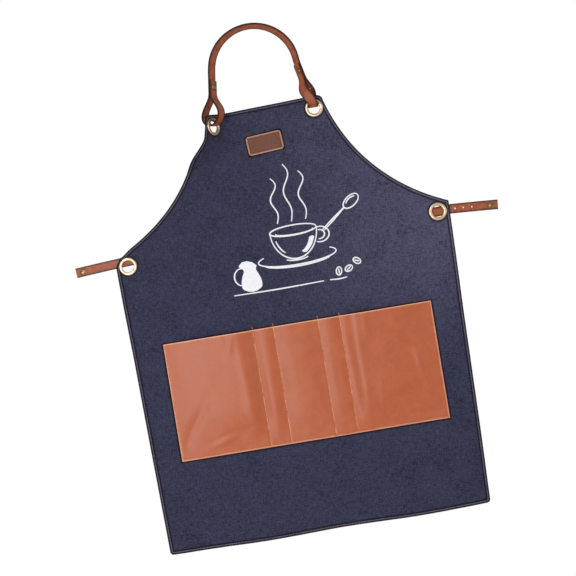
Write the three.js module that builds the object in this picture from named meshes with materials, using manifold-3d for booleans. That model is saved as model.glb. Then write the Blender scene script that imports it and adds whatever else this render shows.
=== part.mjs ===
// Bib apron: a denim panel with a five-compartment leather pocket, a leather label, four brass grommets,
// a leather neck strap looped through the two bib grommets, and a leather waist strap behind the panel.
// Millimetres, +Z up, the front of the apron faces -Y. The apron hangs from the crown of its neck strap.
//
// The cloth is described on its flat pattern: u runs across the front to the right (+X), and v runs up (+Z)
// from the level of the waist grommets. panelPoint() bends the pattern into space.

import * as THREE from 'three';
import { mergeVertices } from 'three/addons/utils/BufferGeometryUtils.js';
import Module from 'manifold-3d';

const wasm = await Module();
wasm.setup();

const V2 = (x, y) => new THREE.Vector2(x, y);
const V3 = (x, y, z) => new THREE.Vector3(x, y, z);
const degrees = THREE.MathUtils.degToRad;

// ---------- driving dimensions ----------

const GAP = 0.3;                      // clearance left between pieces that touch
const HEM_THREAD_GAP = 1.9;           // the same under the hem's thread, where the cloth bends
const DRILL_LENGTH = 12;              // long enough to go through cloth or leather at any of the holes

const DENIM = 1.2;                    // cloth thickness, hem included
const TOP_V = 265;                    // top edge of the bib
const HEM_V = -577;                   // bottom hem
const SIDE_CORNER = V2(332, 18);      // where an armhole meets a side edge
const ARMHOLE_PULL = [V2(211, 70), V2(152, 158)];   // Bezier handles of the armhole's curve
const BIB_HALF_WIDTH = 125;
const BIB_SHIFT = -3;                 // the bib sits this far to one side of the skirt
const HEM_HALF_WIDTH = 319;
const BIB_CORNER_R = 12;
const HEM_CORNER_R = 7;
const PANEL_COLUMNS = 27;

const SETBACK = -10;                  // the skirt hangs this far in front of the bib's top
const SETBACK_FROM_V = 165;
const SETBACK_TO_V = 50;

const CURL_ANGLE = degrees(50);       // the left bib corner curls forwards
const CURL_START_U = -73;
const CURL_ARC = 12;
const CURL_FADE = V2(158, 222);       // v range over which the curl grows in

// The waist and the bib lean: their right side hangs higher than their left, by this share of u.
const WAIST_LEAN = 0.0122;
const WAIST_LEAN_FADE = V2(-150, 0);
const BIB_LEAN = 0.022;

const HEM_WAVE = 7;                   // depth of the waves in the bottom hem
const HEM_WAVE_LENGTH = 290;
const HEM_WAVE_FROM_V = -415;
const SIDE_SWEEP = 8;                 // the side edges of the skirt sweep back
const SIDE_SWEEP_FROM_U = 272;
const SIDE_SWEEP_FADE = V2(-60, -200);

const GROMMET_HOLE_R = 11.4;
const GROMMET_BARREL_R = 12.2;
const GROMMET_FLANGE_R = 17.6;
const GROMMET_SEGMENTS = 16;
const CLOTH_HOLE_R = GROMMET_BARREL_R + 0.4;
const WASHER_R = 17;
const BIB_GROMMET = V2(105, 241);     // offset from the bib's centre line, and height
const WAIST_GROMMET = V2(308, 0);

const LEATHER = 2.6;                  // strap leather thickness
const NECK_STRAP_WIDTH = 19;
const WAIST_STRAP_WIDTH = 19;
const STRAP_PASS = 2.6;               // strap centre above a grommet's centre

const ARCH_CENTRE = V3(-1, -8, 339);
const ARCH_R = 83.5;
const ARCH_TILT = [degrees(38), degrees(22), degrees(34)];   // left side, crown, right side
const LOOP_MERGE = 66;                // along a loop, where its two strands come together
const LOOP_STUD = 79;
const LOOP_TIP = 92;
const LOOP_TOP = 95;
const LOOP_TURN_FROM = 6;             // a loop turns between these heights above its grommet
const LOOP_TURN_TO = 62;

const POCKET = { left: -266, right: 266, mouth: -166, bottom: -399, leather: 1.6 };
const POCKET_SEAMS = [-88, -47, 41, 84];
const POCKET_BULGE = [9, 5.8, 7.5, 5.8, 9];       // how far each compartment's mouth stands off the cloth
const POCKET_RISE = { share: 0.3, most: 18 };      // how soon the leather rises beside a seam
const POCKET_RISE_HEIGHT = 120;                    // and above the bottom edge

const LABEL = { u: -4.5, v: 192.5, width: 70, height: 37, corner: 5, leather: 1.6, turn: degrees(4) };

const WAIST_STRAP_CROWN = 15;         // height of the waist strap on the centre line
const WAIST_STRAP_BOW = 9e-5;         // how fast its height falls off, per mm
const WAIST_SAG = 3.2;                // the strap sags where it passes the right waist grommet
const WAIST_SAG_U = 303;
const WAIST_SAG_REACH = 16;
const WAIST_STRAP_Y = 5.0;            // from the cloth's middle to the strap's middle
const WAIST_FOLD_U = 334;
const WAIST_TIPS = { left: -411, right: 427 };
const STUD_FROM_TIP = 13.5;
const WAIST_HOLES = [343, 359, 376];
const PUNCHED_HOLE_R = 1.5;
const PUNCHED_SEGMENTS = 8;
const NECK_HOLES = [24, 42];          // adjustment holes, measured up each loop

const STUD_HEAD_R = 6.7;
const STUD_POST_R = 2.4;
const STUD_HOLE_R = 2.8;
const STUD_SEGMENTS = 12;

const THREAD = 0.5;                   // thickness of a line of stitching
const SEAM_WIDTH = { hem: 1.1, pocket: 1.2, label: 1 };
const SEAM_INSET = { hem: 4.5, pocketMouth: 1, pocketBottom: 6, label: 3.2 };
const LONGEST_HEM_SPAN = 15;

// ---------- materials ----------

const finish = (color, roughness, metalness) =>
  new THREE.MeshStandardMaterial({ color, roughness, metalness });

const materials = {
  denim: () => finish(0x35344c, 0.9, 0),
  pocketLeather: () => finish(0xb8664a, 0.55, 0),
  labelLeather: () => finish(0x7a4a35, 0.6, 0),
  strapLeather: () => finish(0x8f4b2f, 0.5, 0),
  brass: () => finish(0xd9b98f, 0.3, 1),
  agedBrass: () => finish(0x9c8154, 0.4, 1),
  tanThread: () => finish(0xd98a5a, 0.8, 0),
  hemThread: () => finish(0x6d5a62, 0.8, 0),
};

const apron = new THREE.Group();

function addPiece(name, geometry, material, place = null) {
  const mesh = new THREE.Mesh(geometry, material);
  mesh.name = name;
  if (place) {
    mesh.applyMatrix4(place);
  }
  apron.add(mesh);
}

// ---------- shared shape helpers ----------

const clamp01 = (x) => Math.min(1, Math.max(0, x));

function ease(from, to, x) {
  const t = clamp01((x - from) / (to - from));
  return t * t * (3 - 2 * t);
}

function indexedGeometry(points, triangles) {
  const geometry = new THREE.BufferGeometry();
  geometry.setAttribute('position', new THREE.Float32BufferAttribute(points.flatMap((p) => p.toArray()), 3));
  geometry.setIndex(triangles.flat());
  return geometry;
}

// A sheet with thickness: two grids of the same size, front and back, joined round the rim.
function sheetGeometry(front, back) {
  const rows = front.length;
  const columns = front[0].length;
  const frontAt = (r, c) => r * columns + c;
  const backAt = (r, c) => rows * columns + r * columns + c;
  const triangles = [];
  const quad = (a, b, c, d) => triangles.push([a, b, c], [a, c, d]);
  for (let r = 0; r + 1 < rows; r += 1) {
    for (let c = 0; c + 1 < columns; c += 1) {
      quad(frontAt(r, c), frontAt(r, c + 1), frontAt(r + 1, c + 1), frontAt(r + 1, c));
      quad(backAt(r, c), backAt(r + 1, c), backAt(r + 1, c + 1), backAt(r, c + 1));
    }
    quad(frontAt(r, 0), frontAt(r + 1, 0), backAt(r + 1, 0), backAt(r, 0));
    const last = columns - 1;
    quad(frontAt(r + 1, last), frontAt(r, last), backAt(r, last), backAt(r + 1, last));
  }
  for (let c = 0; c + 1 < columns; c += 1) {
    quad(frontAt(0, c + 1), frontAt(0, c), backAt(0, c), backAt(0, c + 1));
    quad(frontAt(rows - 1, c), frontAt(rows - 1, c + 1), backAt(rows - 1, c + 1), backAt(rows - 1, c));
  }
  return indexedGeometry([...front.flat(), ...back.flat()], triangles);
}

// A flat ribbon swept along frames { at, face, across }: face is the direction it looks, across its width.
function ribbonGeometry(frames, width, thickness, closed = false) {
  const points = frames.flatMap(({ at, face, across }) =>
    [[-1, 1], [1, 1], [1, -1], [-1, -1]].map(([w, t]) =>
      at.clone().addScaledVector(across, (w * width) / 2).addScaledVector(face, (t * thickness) / 2)));
  const sides = 4;
  const triangles = [];
  const quad = (a, b, c, d) => triangles.push([a, b, c], [a, c, d]);
  const spans = closed ? frames.length : frames.length - 1;
  for (let i = 0; i < spans; i += 1) {
    const here = i * sides;
    const next = ((i + 1) % frames.length) * sides;
    for (let k = 0; k < sides; k += 1) {
      const n = (k + 1) % sides;
      quad(here + k, next + k, next + n, here + n);
    }
  }
  if (!closed) {
    const last = (frames.length - 1) * sides;
    quad(0, 1, 2, 3);
    quad(last + 3, last + 2, last + 1, last);
  }
  return indexedGeometry(points, triangles);
}

// Frames along sampled points, each with a hint of which way the ribbon's width runs.
function ribbonFrames(points, widthHints, closed = false) {
  const count = points.length;
  return points.map((at, i) => {
    const before = closed ? points[(i + count - 1) % count] : points[Math.max(0, i - 1)];
    const after = closed ? points[(i + 1) % count] : points[Math.min(count - 1, i + 1)];
    const along = after.clone().sub(before).normalize();
    const hint = widthHints[i];
    const across = hint.clone().addScaledVector(along, -hint.dot(along)).normalize();
    const face = along.clone().cross(across).normalize();
    return { at, face, across, along };
  });
}

function toManifold(geometry) {
  const bare = geometry.clone();
  bare.deleteAttribute('normal');
  bare.deleteAttribute('uv');
  const merged = mergeVertices(bare, 1e-4);
  return new wasm.Manifold(new wasm.Mesh({
    numProp: 3,
    vertProperties: new Float32Array(merged.attributes.position.array),
    triVerts: new Uint32Array(merged.index.array),
  }));
}

function cutAway(geometry, cutters) {
  let solid = toManifold(geometry);
  for (const cutter of cutters) {
    solid = solid.subtract(toManifold(cutter));
  }
  const mesh = solid.getMesh();
  const result = new THREE.BufferGeometry();
  result.setAttribute('position', new THREE.BufferAttribute(new Float32Array(mesh.vertProperties), 3));
  result.setIndex(new THREE.BufferAttribute(new Uint32Array(mesh.triVerts), 1));
  return result;
}

// A drill: a cylinder of the given radius and length, centred on a point and lying along a direction.
function drill(centre, direction, radius, length, segments) {
  const turn = new THREE.Quaternion().setFromUnitVectors(V3(0, 1, 0), direction.clone().normalize());
  const place = new THREE.Matrix4().compose(centre, turn, V3(1, 1, 1));
  return new THREE.CylinderGeometry(radius, radius, length, segments).applyMatrix4(place);
}

// Stands a piece made on the Y axis at a point, with its -Y end looking along outward.
function placed(centre, outward) {
  const turn = new THREE.Quaternion().setFromUnitVectors(V3(0, -1, 0), outward.clone().normalize());
  return new THREE.Matrix4().compose(centre, turn, V3(1, 1, 1));
}

// ---------- the cloth's surface ----------

function panelMiddle(u, v) {
  const lean = WAIST_LEAN * ease(WAIST_LEAN_FADE.x, WAIST_LEAN_FADE.y, v) + BIB_LEAN * ease(0, TOP_V, v);
  const middle = V3(u, SETBACK * (1 - ease(SETBACK_TO_V, SETBACK_FROM_V, v)), v + lean * u);
  const curl = CURL_ANGLE * ease(CURL_FADE.x, CURL_FADE.y, v);
  const past = CURL_START_U - u;
  if (past > 0 && curl > 1e-4) {
    const radius = CURL_ARC / curl;
    const turned = Math.min(past / CURL_ARC, 1) * curl;
    const straight = Math.max(past - CURL_ARC, 0);
    middle.x = CURL_START_U - radius * Math.sin(turned) - straight * Math.cos(curl);
    middle.y -= radius * (1 - Math.cos(turned)) + straight * Math.sin(curl);
  }
  const wave = HEM_WAVE * ease(HEM_WAVE_FROM_V, HEM_V, v);
  middle.y += wave * Math.sin((2 * Math.PI * (u + 40)) / HEM_WAVE_LENGTH);
  const towardsSide = ease(SIDE_SWEEP_FROM_U, SIDE_CORNER.x, Math.abs(u));
  middle.y += SIDE_SWEEP * towardsSide * ease(SIDE_SWEEP_FADE.x, SIDE_SWEEP_FADE.y, v);
  return middle;
}

function panelNormal(u, v) {
  const step = 0.5;
  const alongU = panelMiddle(u + step, v).sub(panelMiddle(u - step, v));
  const alongV = panelMiddle(u, v + step).sub(panelMiddle(u, v - step));
  return alongU.cross(alongV).normalize();
}

// A point of the cloth, raised towards the front by the given height above the cloth's middle.
function panelPoint(u, v, raise = 0) {
  return panelMiddle(u, v).addScaledVector(panelNormal(u, v), raise);
}

// ---------- the panel's outline ----------

const armhole = new THREE.CubicBezierCurve(
  SIDE_CORNER, ...ARMHOLE_PULL, V2(BIB_HALF_WIDTH, TOP_V - BIB_CORNER_R));

const bibCentre = (v) => BIB_SHIFT * ease(SIDE_CORNER.y, TOP_V, v);

// Half widths of the panel by height, from the hem to the top edge.
function panelRows() {
  const rows = [];
  const cornerSteps = 3;
  for (let i = 0; i <= cornerSteps; i += 1) {
    const a = (i / cornerSteps) * Math.PI / 2;
    rows.push(V2(
      HEM_HALF_WIDTH - HEM_CORNER_R * (1 - Math.sin(a)),
      HEM_V + HEM_CORNER_R * (1 - Math.cos(a))));
  }
  const sideSteps = 11;
  for (let i = 1; i <= sideSteps; i += 1) {
    rows.push(V2(
      THREE.MathUtils.lerp(HEM_HALF_WIDTH, SIDE_CORNER.x, i / sideSteps),
      THREE.MathUtils.lerp(HEM_V + HEM_CORNER_R, SIDE_CORNER.y, i / sideSteps)));
  }
  const armholeSteps = 22;
  rows.push(...armhole.getPoints(armholeSteps).slice(1));
  for (let i = 1; i <= cornerSteps; i += 1) {
    const a = (i / cornerSteps) * Math.PI / 2;
    rows.push(V2(
      BIB_HALF_WIDTH - BIB_CORNER_R * (1 - Math.cos(a)),
      TOP_V - BIB_CORNER_R * (1 - Math.sin(a))));
  }
  return rows;
}

function makePanel() {
  const grid = (raise) => panelRows().map(({ x: halfWidth, y: v }) =>
    Array.from({ length: PANEL_COLUMNS + 1 }, (_, c) => {
      const u = bibCentre(v) + halfWidth * ((2 * c) / PANEL_COLUMNS - 1);
      return panelPoint(u, v, raise);
    }));
  const sheet = sheetGeometry(grid(DENIM / 2), grid(-DENIM / 2));
  const drills = grommetPlaces().map(({ u, v }) =>
    drill(panelPoint(u, v), panelNormal(u, v), CLOTH_HOLE_R, DRILL_LENGTH, GROMMET_SEGMENTS));
  addPiece('denim_panel', cutAway(sheet, drills), materials.denim());
}

// The hem's seam follows the outline a few millimetres inside it.
function makeHemThread() {
  const right = panelRows().map(({ x, y }) => V2(bibCentre(y) + x, y));
  const left = panelRows().map(({ x, y }) => V2(bibCentre(y) - x, y)).reverse();
  const outline = subdivided([...right, ...left], LONGEST_HEM_SPAN);
  const count = outline.length;
  const seam = outline.map((point, i) => {
    const along = outline[(i + 1) % count].clone().sub(outline[(i + count - 1) % count]).normalize();
    return V2(point.x - along.y * SEAM_INSET.hem, point.y + along.x * SEAM_INSET.hem);
  });
  const ribbon = seamRibbon(seam, DENIM / 2 + HEM_THREAD_GAP, SEAM_WIDTH.hem, true);
  addPiece('hem_thread', ribbon, materials.hemThread());
}

// A closed outline with extra points, so that no span is longer than the given length.
function subdivided(outline, longest) {
  return outline.flatMap((point, i) => {
    const next = outline[(i + 1) % outline.length];
    const parts = Math.max(1, Math.ceil(point.distanceTo(next) / longest));
    return Array.from({ length: parts }, (_, k) => point.clone().lerp(next, k / parts));
  });
}

// A line of stitching as a thin ribbon that lies on the cloth or on what is sewn to it.
function seamRibbon(pattern, raise, width, closed = false) {
  const points = pattern.map(({ x, y }) => panelPoint(x, y, raise + THREAD / 2));
  const normals = pattern.map(({ x, y }) => panelNormal(x, y));
  const count = points.length;
  const hints = points.map((_, i) => {
    const before = points[closed ? (i + count - 1) % count : Math.max(0, i - 1)];
    const after = points[closed ? (i + 1) % count : Math.min(count - 1, i + 1)];
    return normals[i].clone().cross(after.clone().sub(before)).normalize();
  });
  return ribbonGeometry(ribbonFrames(points, hints, closed), width, THREAD, closed);
}

// ---------- grommets ----------

function grommetPlaces() {
  const bib = bibCentre(BIB_GROMMET.y);
  return [
    { name: 'bib_left', u: bib - BIB_GROMMET.x, v: BIB_GROMMET.y },
    { name: 'bib_right', u: bib + BIB_GROMMET.x, v: BIB_GROMMET.y },
    { name: 'waist_left', u: -WAIST_GROMMET.x, v: WAIST_GROMMET.y },
    { name: 'waist_right', u: WAIST_GROMMET.x, v: WAIST_GROMMET.y },
  ];
}

// Domed flange in front, barrel through the cloth, lip rolled out over the washer behind.
function eyeletGeometry() {
  const face = -(DENIM / 2 + GAP);
  const lip = 2.2;
  const profile = [
    V2(GROMMET_HOLE_R, -1.6),
    V2(GROMMET_HOLE_R + 1, -2.5),
    V2(14.2, -2.9),
    V2(16.4, -2.5),
    V2(GROMMET_FLANGE_R, -1.4),
    V2(GROMMET_FLANGE_R, face),
    V2(GROMMET_BARREL_R, face),
    V2(GROMMET_BARREL_R, lip),
    V2(GROMMET_BARREL_R + 1.8, lip),
    V2(GROMMET_BARREL_R + 1.8, lip + 0.5),
    V2(GROMMET_BARREL_R + 0.4, lip + 0.8),
    V2(GROMMET_HOLE_R, lip + 0.4),
    V2(GROMMET_HOLE_R, -1.6),
  ];
  return new THREE.LatheGeometry(profile, GROMMET_SEGMENTS);
}

function washerGeometry() {
  const near = DENIM / 2 + GAP;
  const thickness = 1;
  const roundedBy = 0.6;
  const profile = [
    V2(CLOTH_HOLE_R, near + thickness),
    V2(CLOTH_HOLE_R, near),
    V2(WASHER_R, near),
    V2(WASHER_R, near + thickness - roundedBy),
    V2(WASHER_R - roundedBy, near + thickness),
    V2(CLOTH_HOLE_R, near + thickness),
  ];
  return new THREE.LatheGeometry(profile, GROMMET_SEGMENTS);
}

function makeGrommets() {
  for (const { name, u, v } of grommetPlaces()) {
    const place = placed(panelPoint(u, v), panelNormal(u, v));
    addPiece(`grommet_${name}`, eyeletGeometry(), materials.brass(), place);
    addPiece(`washer_${name}`, washerGeometry(), materials.brass(), place);
  }
}

// ---------- pocket ----------

const pocketLines = [POCKET.left, ...POCKET_SEAMS, POCKET.right];

const compartmentRise = (width) => Math.min(POCKET_RISE.most, width * POCKET_RISE.share);

// How far the leather stands off the cloth: nothing at its seams, most at the mouth of a compartment.
function pocketBulge(u, v) {
  const next = pocketLines.findIndex((line, i) => i > 0 && u <= line);
  const near = pocketLines[next - 1];
  const far = pocketLines[next];
  const acrossShare = ease(0, compartmentRise(far - near), Math.min(u - near, far - u));
  return POCKET_BULGE[next - 1] * acrossShare * ease(0, POCKET_RISE_HEIGHT, v - POCKET.bottom);
}

function makePocket() {
  const heights = [0, 15, 35, 60, 90, 120, 180, POCKET.mouth - POCKET.bottom].map((h) => POCKET.bottom + h);
  const across = [];
  for (let i = 0; i + 1 < pocketLines.length; i += 1) {
    const near = pocketLines[i];
    const width = pocketLines[i + 1] - near;
    const rise = compartmentRise(width);
    const middles = width > 100 ? [0.28, 0.5, 0.72] : [0.5];
    across.push(near, near + rise / 2, near + rise);
    across.push(...middles.map((share) => near + share * width));
    across.push(near + width - rise, near + width - rise / 2);
  }
  across.push(POCKET.right);
  const inner = DENIM / 2 + GAP;
  const grid = (thickness) => heights.map((v) =>
    across.map((u) => panelPoint(u, v, inner + pocketBulge(u, v) + thickness)));
  addPiece('leather_pocket', sheetGeometry(grid(POCKET.leather), grid(0)), materials.pocketLeather());
}

function makePocketThreads() {
  const raise = DENIM / 2 + GAP + POCKET.leather + GAP;
  const steps = 8;
  POCKET_SEAMS.forEach((u, i) => {
    const line = Array.from({ length: steps + 1 }, (_, k) =>
      V2(u, THREE.MathUtils.lerp(
        POCKET.mouth - SEAM_INSET.pocketMouth, POCKET.bottom + SEAM_INSET.pocketBottom, k / steps)));
    const ribbon = seamRibbon(line, raise, SEAM_WIDTH.pocket);
    addPiece(`pocket_seam_thread_${i + 1}`, ribbon, materials.tanThread());
  });
}

// ---------- label ----------

function roundedRectangle(width, height, corner) {
  const x = width / 2;
  const y = height / 2;
  const shape = new THREE.Shape();
  shape.absarc(x - corner, y - corner, corner, 0, Math.PI / 2);
  shape.absarc(-x + corner, y - corner, corner, Math.PI / 2, Math.PI);
  shape.absarc(-x + corner, -y + corner, corner, Math.PI, 1.5 * Math.PI);
  shape.absarc(x - corner, -y + corner, corner, 1.5 * Math.PI, 2 * Math.PI);
  return shape;
}

function makeLabel() {
  const outline = roundedRectangle(LABEL.width, LABEL.height, LABEL.corner);
  const slab = new THREE.ExtrudeGeometry(outline,
    { depth: LABEL.leather, bevelEnabled: false, curveSegments: 4 });
  slab.rotateX(Math.PI / 2);
  slab.rotateY(-LABEL.turn);
  slab.translate(LABEL.u, -(DENIM / 2 + GAP), LABEL.v);
  addPiece('leather_label', slab, materials.labelLeather());
  const inset = SEAM_INSET.label;
  const seam = roundedRectangle(LABEL.width - 2 * inset, LABEL.height - 2 * inset, LABEL.corner - inset / 2)
    .getPoints(4)
    .map(({ x, y }) => V2(x, y).rotateAround(V2(0, 0), LABEL.turn).add(V2(LABEL.u, LABEL.v)))
    .filter((point, i, all) => i === 0 || point.distanceTo(all[i - 1]) > 0.01);
  if (seam[0].distanceTo(seam.at(-1)) < 0.01) {
    seam.pop();
  }
  const raise = DENIM / 2 + GAP + LABEL.leather + GAP;
  addPiece('label_thread', seamRibbon(seam, raise, SEAM_WIDTH.label, true), materials.tanThread());
}

// ---------- studs: a domed head on a tapped post, and the screw that closes it from behind ----------

function studGeometry(postLength) {
  const profile = [
    V2(0, -2.6),
    V2(3.2, -2.3),
    V2(5.4, -1.6),
    V2(STUD_HEAD_R, -0.6),
    V2(STUD_HEAD_R, 0),
    V2(STUD_POST_R, 0),
    V2(STUD_POST_R, postLength),
    V2(1.7, postLength),
    V2(1.7, 0.6),
    V2(0, 0.6),
  ];
  return new THREE.LatheGeometry(profile, STUD_SEGMENTS);
}

function studScrewGeometry(postLength) {
  const seat = postLength + GAP;
  const profile = [
    V2(0, 0.9),
    V2(1.4, 0.9),
    V2(1.4, seat),
    V2(5, seat),
    V2(5, seat + 0.9),
    V2(4.2, seat + 1.5),
    V2(0, seat + 1.5),
  ];
  return new THREE.LatheGeometry(profile, STUD_SEGMENTS);
}

// A stud through one or more layers of leather, its head's underside standing at a point.
function makeStud(name, underHead, outward, layers) {
  const postLength = layers * (LEATHER + GAP);
  const place = placed(underHead, outward);
  addPiece(`${name}_stud`, studGeometry(postLength), materials.agedBrass(), place);
  addPiece(`${name}_screw`, studScrewGeometry(postLength), materials.agedBrass(), place);
}

// ---------- neck strap ----------

// One end of the neck strap: a loop that rises from a grommet's centre towards the arch. p runs from the
// front strand to the back strand, q up the loop; turn is the loop's own turn about the vertical.
const LOOPS = {
  left: {
    side: 'left', radius: 21, top: V3(-85, -12, 334), turnLow: degrees(-52), turnHigh: degrees(-52), flip: 1,
  },
  right: { side: 'right', radius: 18, top: V3(83, -5, 334), turnLow: 0, turnHigh: degrees(56), flip: -1 },
};

function loopFrame({ side, top, turnLow, turnHigh, flip }) {
  const { u, v } = grommetPlaces().find(({ name }) => name === `bib_${side}`);
  const foot = panelPoint(u, v);
  const rise = top.clone().sub(foot).normalize();
  const turnAt = (q) => THREE.MathUtils.lerp(turnLow, turnHigh, ease(LOOP_TURN_FROM, LOOP_TURN_TO, q));
  const point = (p, q) => foot.clone()
    .addScaledVector(rise, q)
    .add(V3(Math.sin(turnAt(q)), Math.cos(turnAt(q)), 0).multiplyScalar(p));
  const across = (q) => V3(Math.cos(turnAt(q)), -Math.sin(turnAt(q)), 0).multiplyScalar(flip);
  const inward = (q) => rise.clone().cross(across(q)).multiplyScalar(-flip).normalize();
  return { point, across, inward };
}

// Stations of one loop from the strap's tip, down the front strand, through the hole, and up the back strand.
function loopStations(loop) {
  const frame = loopFrame(loop);
  const layer = (LEATHER + GAP) / 2;
  const middle = STRAP_PASS + loop.radius;
  const strandAt = (q) => {
    const open = 0.5 * (1 + Math.cos(Math.PI * clamp01((q - middle) / (LOOP_MERGE - middle))));
    return layer + (loop.radius - layer) * open;
  };
  const strandSteps = [LOOP_TIP, LOOP_STUD, LOOP_MERGE + 3];
  const fallSteps = 7;
  for (let i = 0; i < fallSteps; i += 1) {
    strandSteps.push(THREE.MathUtils.lerp(LOOP_MERGE, middle, i / fallSteps));
  }
  const front = strandSteps.map((q) => [-strandAt(q), q]);
  const bendSteps = 10;
  const bend = Array.from({ length: bendSteps + 1 }, (_, i) => {
    const a = Math.PI * (1 + i / bendSteps);
    return [loop.radius * Math.cos(a), middle + loop.radius * Math.sin(a)];
  });
  const back = strandSteps.map((q) => [strandAt(q), q]).reverse();
  back[back.length - 1] = [layer, LOOP_TOP];
  return [...front, ...bend, ...back].map(([p, q]) => ({ at: frame.point(p, q), across: frame.across(q) }));
}

function archStations() {
  const steps = 14;
  const from = degrees(168);
  const to = degrees(12);
  return Array.from({ length: steps + 1 }, (_, i) => {
    const share = i / steps;
    const a = THREE.MathUtils.lerp(from, to, share);
    const inward = V3(-Math.cos(a), 0, -Math.sin(a));
    const tilt = share < 0.5
      ? THREE.MathUtils.lerp(ARCH_TILT[0], ARCH_TILT[1], ease(0, 0.5, share))
      : THREE.MathUtils.lerp(ARCH_TILT[1], ARCH_TILT[2], ease(0.5, 1, share));
    return {
      at: ARCH_CENTRE.clone().addScaledVector(inward, -ARCH_R),
      across: inward.clone().multiplyScalar(Math.sin(tilt)).add(V3(0, Math.cos(tilt), 0)),
    };
  });
}

function makeNeckStrap() {
  const stations = [...loopStations(LOOPS.left), ...archStations(), ...loopStations(LOOPS.right).reverse()];
  const route = new THREE.CatmullRomCurve3(stations.map(({ at }) => at), false, 'centripetal');
  const hints = new THREE.CatmullRomCurve3(stations.map(({ across }) => across), false, 'catmullrom', 0.5);
  const count = Math.round(stations.length * 1.5);
  const shares = Array.from({ length: count + 1 }, (_, i) => i / count);
  const frames = ribbonFrames(shares.map((t) => route.getPoint(t)), shares.map((t) => hints.getPoint(t)));
  const strap = ribbonGeometry(frames, NECK_STRAP_WIDTH, LEATHER);
  const drills = [];
  for (const loop of Object.values(LOOPS)) {
    const { point, inward } = loopFrame(loop);
    drills.push(drill(point(0, LOOP_STUD), inward(LOOP_STUD), STUD_HOLE_R, DRILL_LENGTH, STUD_SEGMENTS));
    const underHead = point(0, LOOP_STUD).addScaledVector(inward(LOOP_STUD), LEATHER + 1.5 * GAP);
    makeStud(`neck_${loop.side}`, underHead, inward(LOOP_STUD), 2);
    const backStrandOnly = 1.4 * loop.radius;
    for (const q of NECK_HOLES) {
      drills.push(drill(point(loop.radius, q), inward(q), PUNCHED_HOLE_R, backStrandOnly, PUNCHED_SEGMENTS));
    }
  }
  addPiece('neck_strap', cutAway(strap, drills), materials.strapLeather());
}

// ---------- waist strap ----------

const waistHeight = (x) => {
  const sag = WAIST_SAG * Math.exp(-(((x - WAIST_SAG_U) / WAIST_SAG_REACH) ** 2));
  return WAIST_STRAP_CROWN - WAIST_STRAP_BOW * x * x - sag;
};
const waistPoint = (x) => V3(x, SETBACK + WAIST_STRAP_Y, waistHeight(x));

function waistRibbon(fromX, toX, steps) {
  const points = Array.from({ length: steps + 1 }, (_, i) =>
    waistPoint(THREE.MathUtils.lerp(fromX, toX, i / steps)));
  return ribbonGeometry(ribbonFrames(points, points.map(() => V3(0, 0, 1))), WAIST_STRAP_WIDTH, LEATHER);
}

function makeWaistStrap() {
  const half = WAIST_FOLD_U - GAP;
  addPiece('waist_strap_middle', waistRibbon(-half, half, 56), materials.strapLeather());
  const ends = [
    { side: 'left', from: WAIST_TIPS.left, to: -WAIST_FOLD_U - GAP, holes: [] },
    { side: 'right', from: WAIST_FOLD_U + GAP, to: WAIST_TIPS.right, holes: WAIST_HOLES },
  ];
  for (const { side, from, to, holes } of ends) {
    const tip = WAIST_TIPS[side];
    const stud = waistPoint(tip - Math.sign(tip) * STUD_FROM_TIP);
    const out = V3(0, -1, 0);
    const drills = [drill(stud, out, STUD_HOLE_R, DRILL_LENGTH, STUD_SEGMENTS)];
    drills.push(...holes.map((x) =>
      drill(waistPoint(x), out, PUNCHED_HOLE_R, DRILL_LENGTH, PUNCHED_SEGMENTS)));
    addPiece(`waist_strap_${side}_end`, cutAway(waistRibbon(from, to, 5), drills), materials.strapLeather());
    makeStud(`waist_${side}`, stud.clone().addScaledVector(out, LEATHER / 2 + GAP), out, 1);
  }
}

// ---------- assembly ----------

makePanel();
makeHemThread();
makeGrommets();
makePocket();
makePocketThreads();
makeLabel();
makeNeckStrap();
makeWaistStrap();

// The origin is the point under the strap's crown where a hook holds the apron.
const hangHeight = ARCH_CENTRE.z + Math.sqrt((ARCH_R - LEATHER / 2) ** 2 - ARCH_CENTRE.x ** 2);
apron.position.set(0, -ARCH_CENTRE.y, -hangHeight);

export default apron;
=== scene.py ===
"""A denim bib apron with a leather pocket, label and straps, hung up by its neck strap.

Lengths are in metres. The cloth is described on its flat pattern: u runs across the front to the right and
v up from the level of the waist grommets. cloth_middle() bends that pattern into the shape it hangs in.
"""

import math

import bmesh
import bpy
from bpy.props import FloatProperty, FloatVectorProperty, PointerProperty
from mathutils import Matrix, Vector, noise
from mathutils.geometry import interpolate_bezier
from mathutils.kdtree import KDTree


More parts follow.
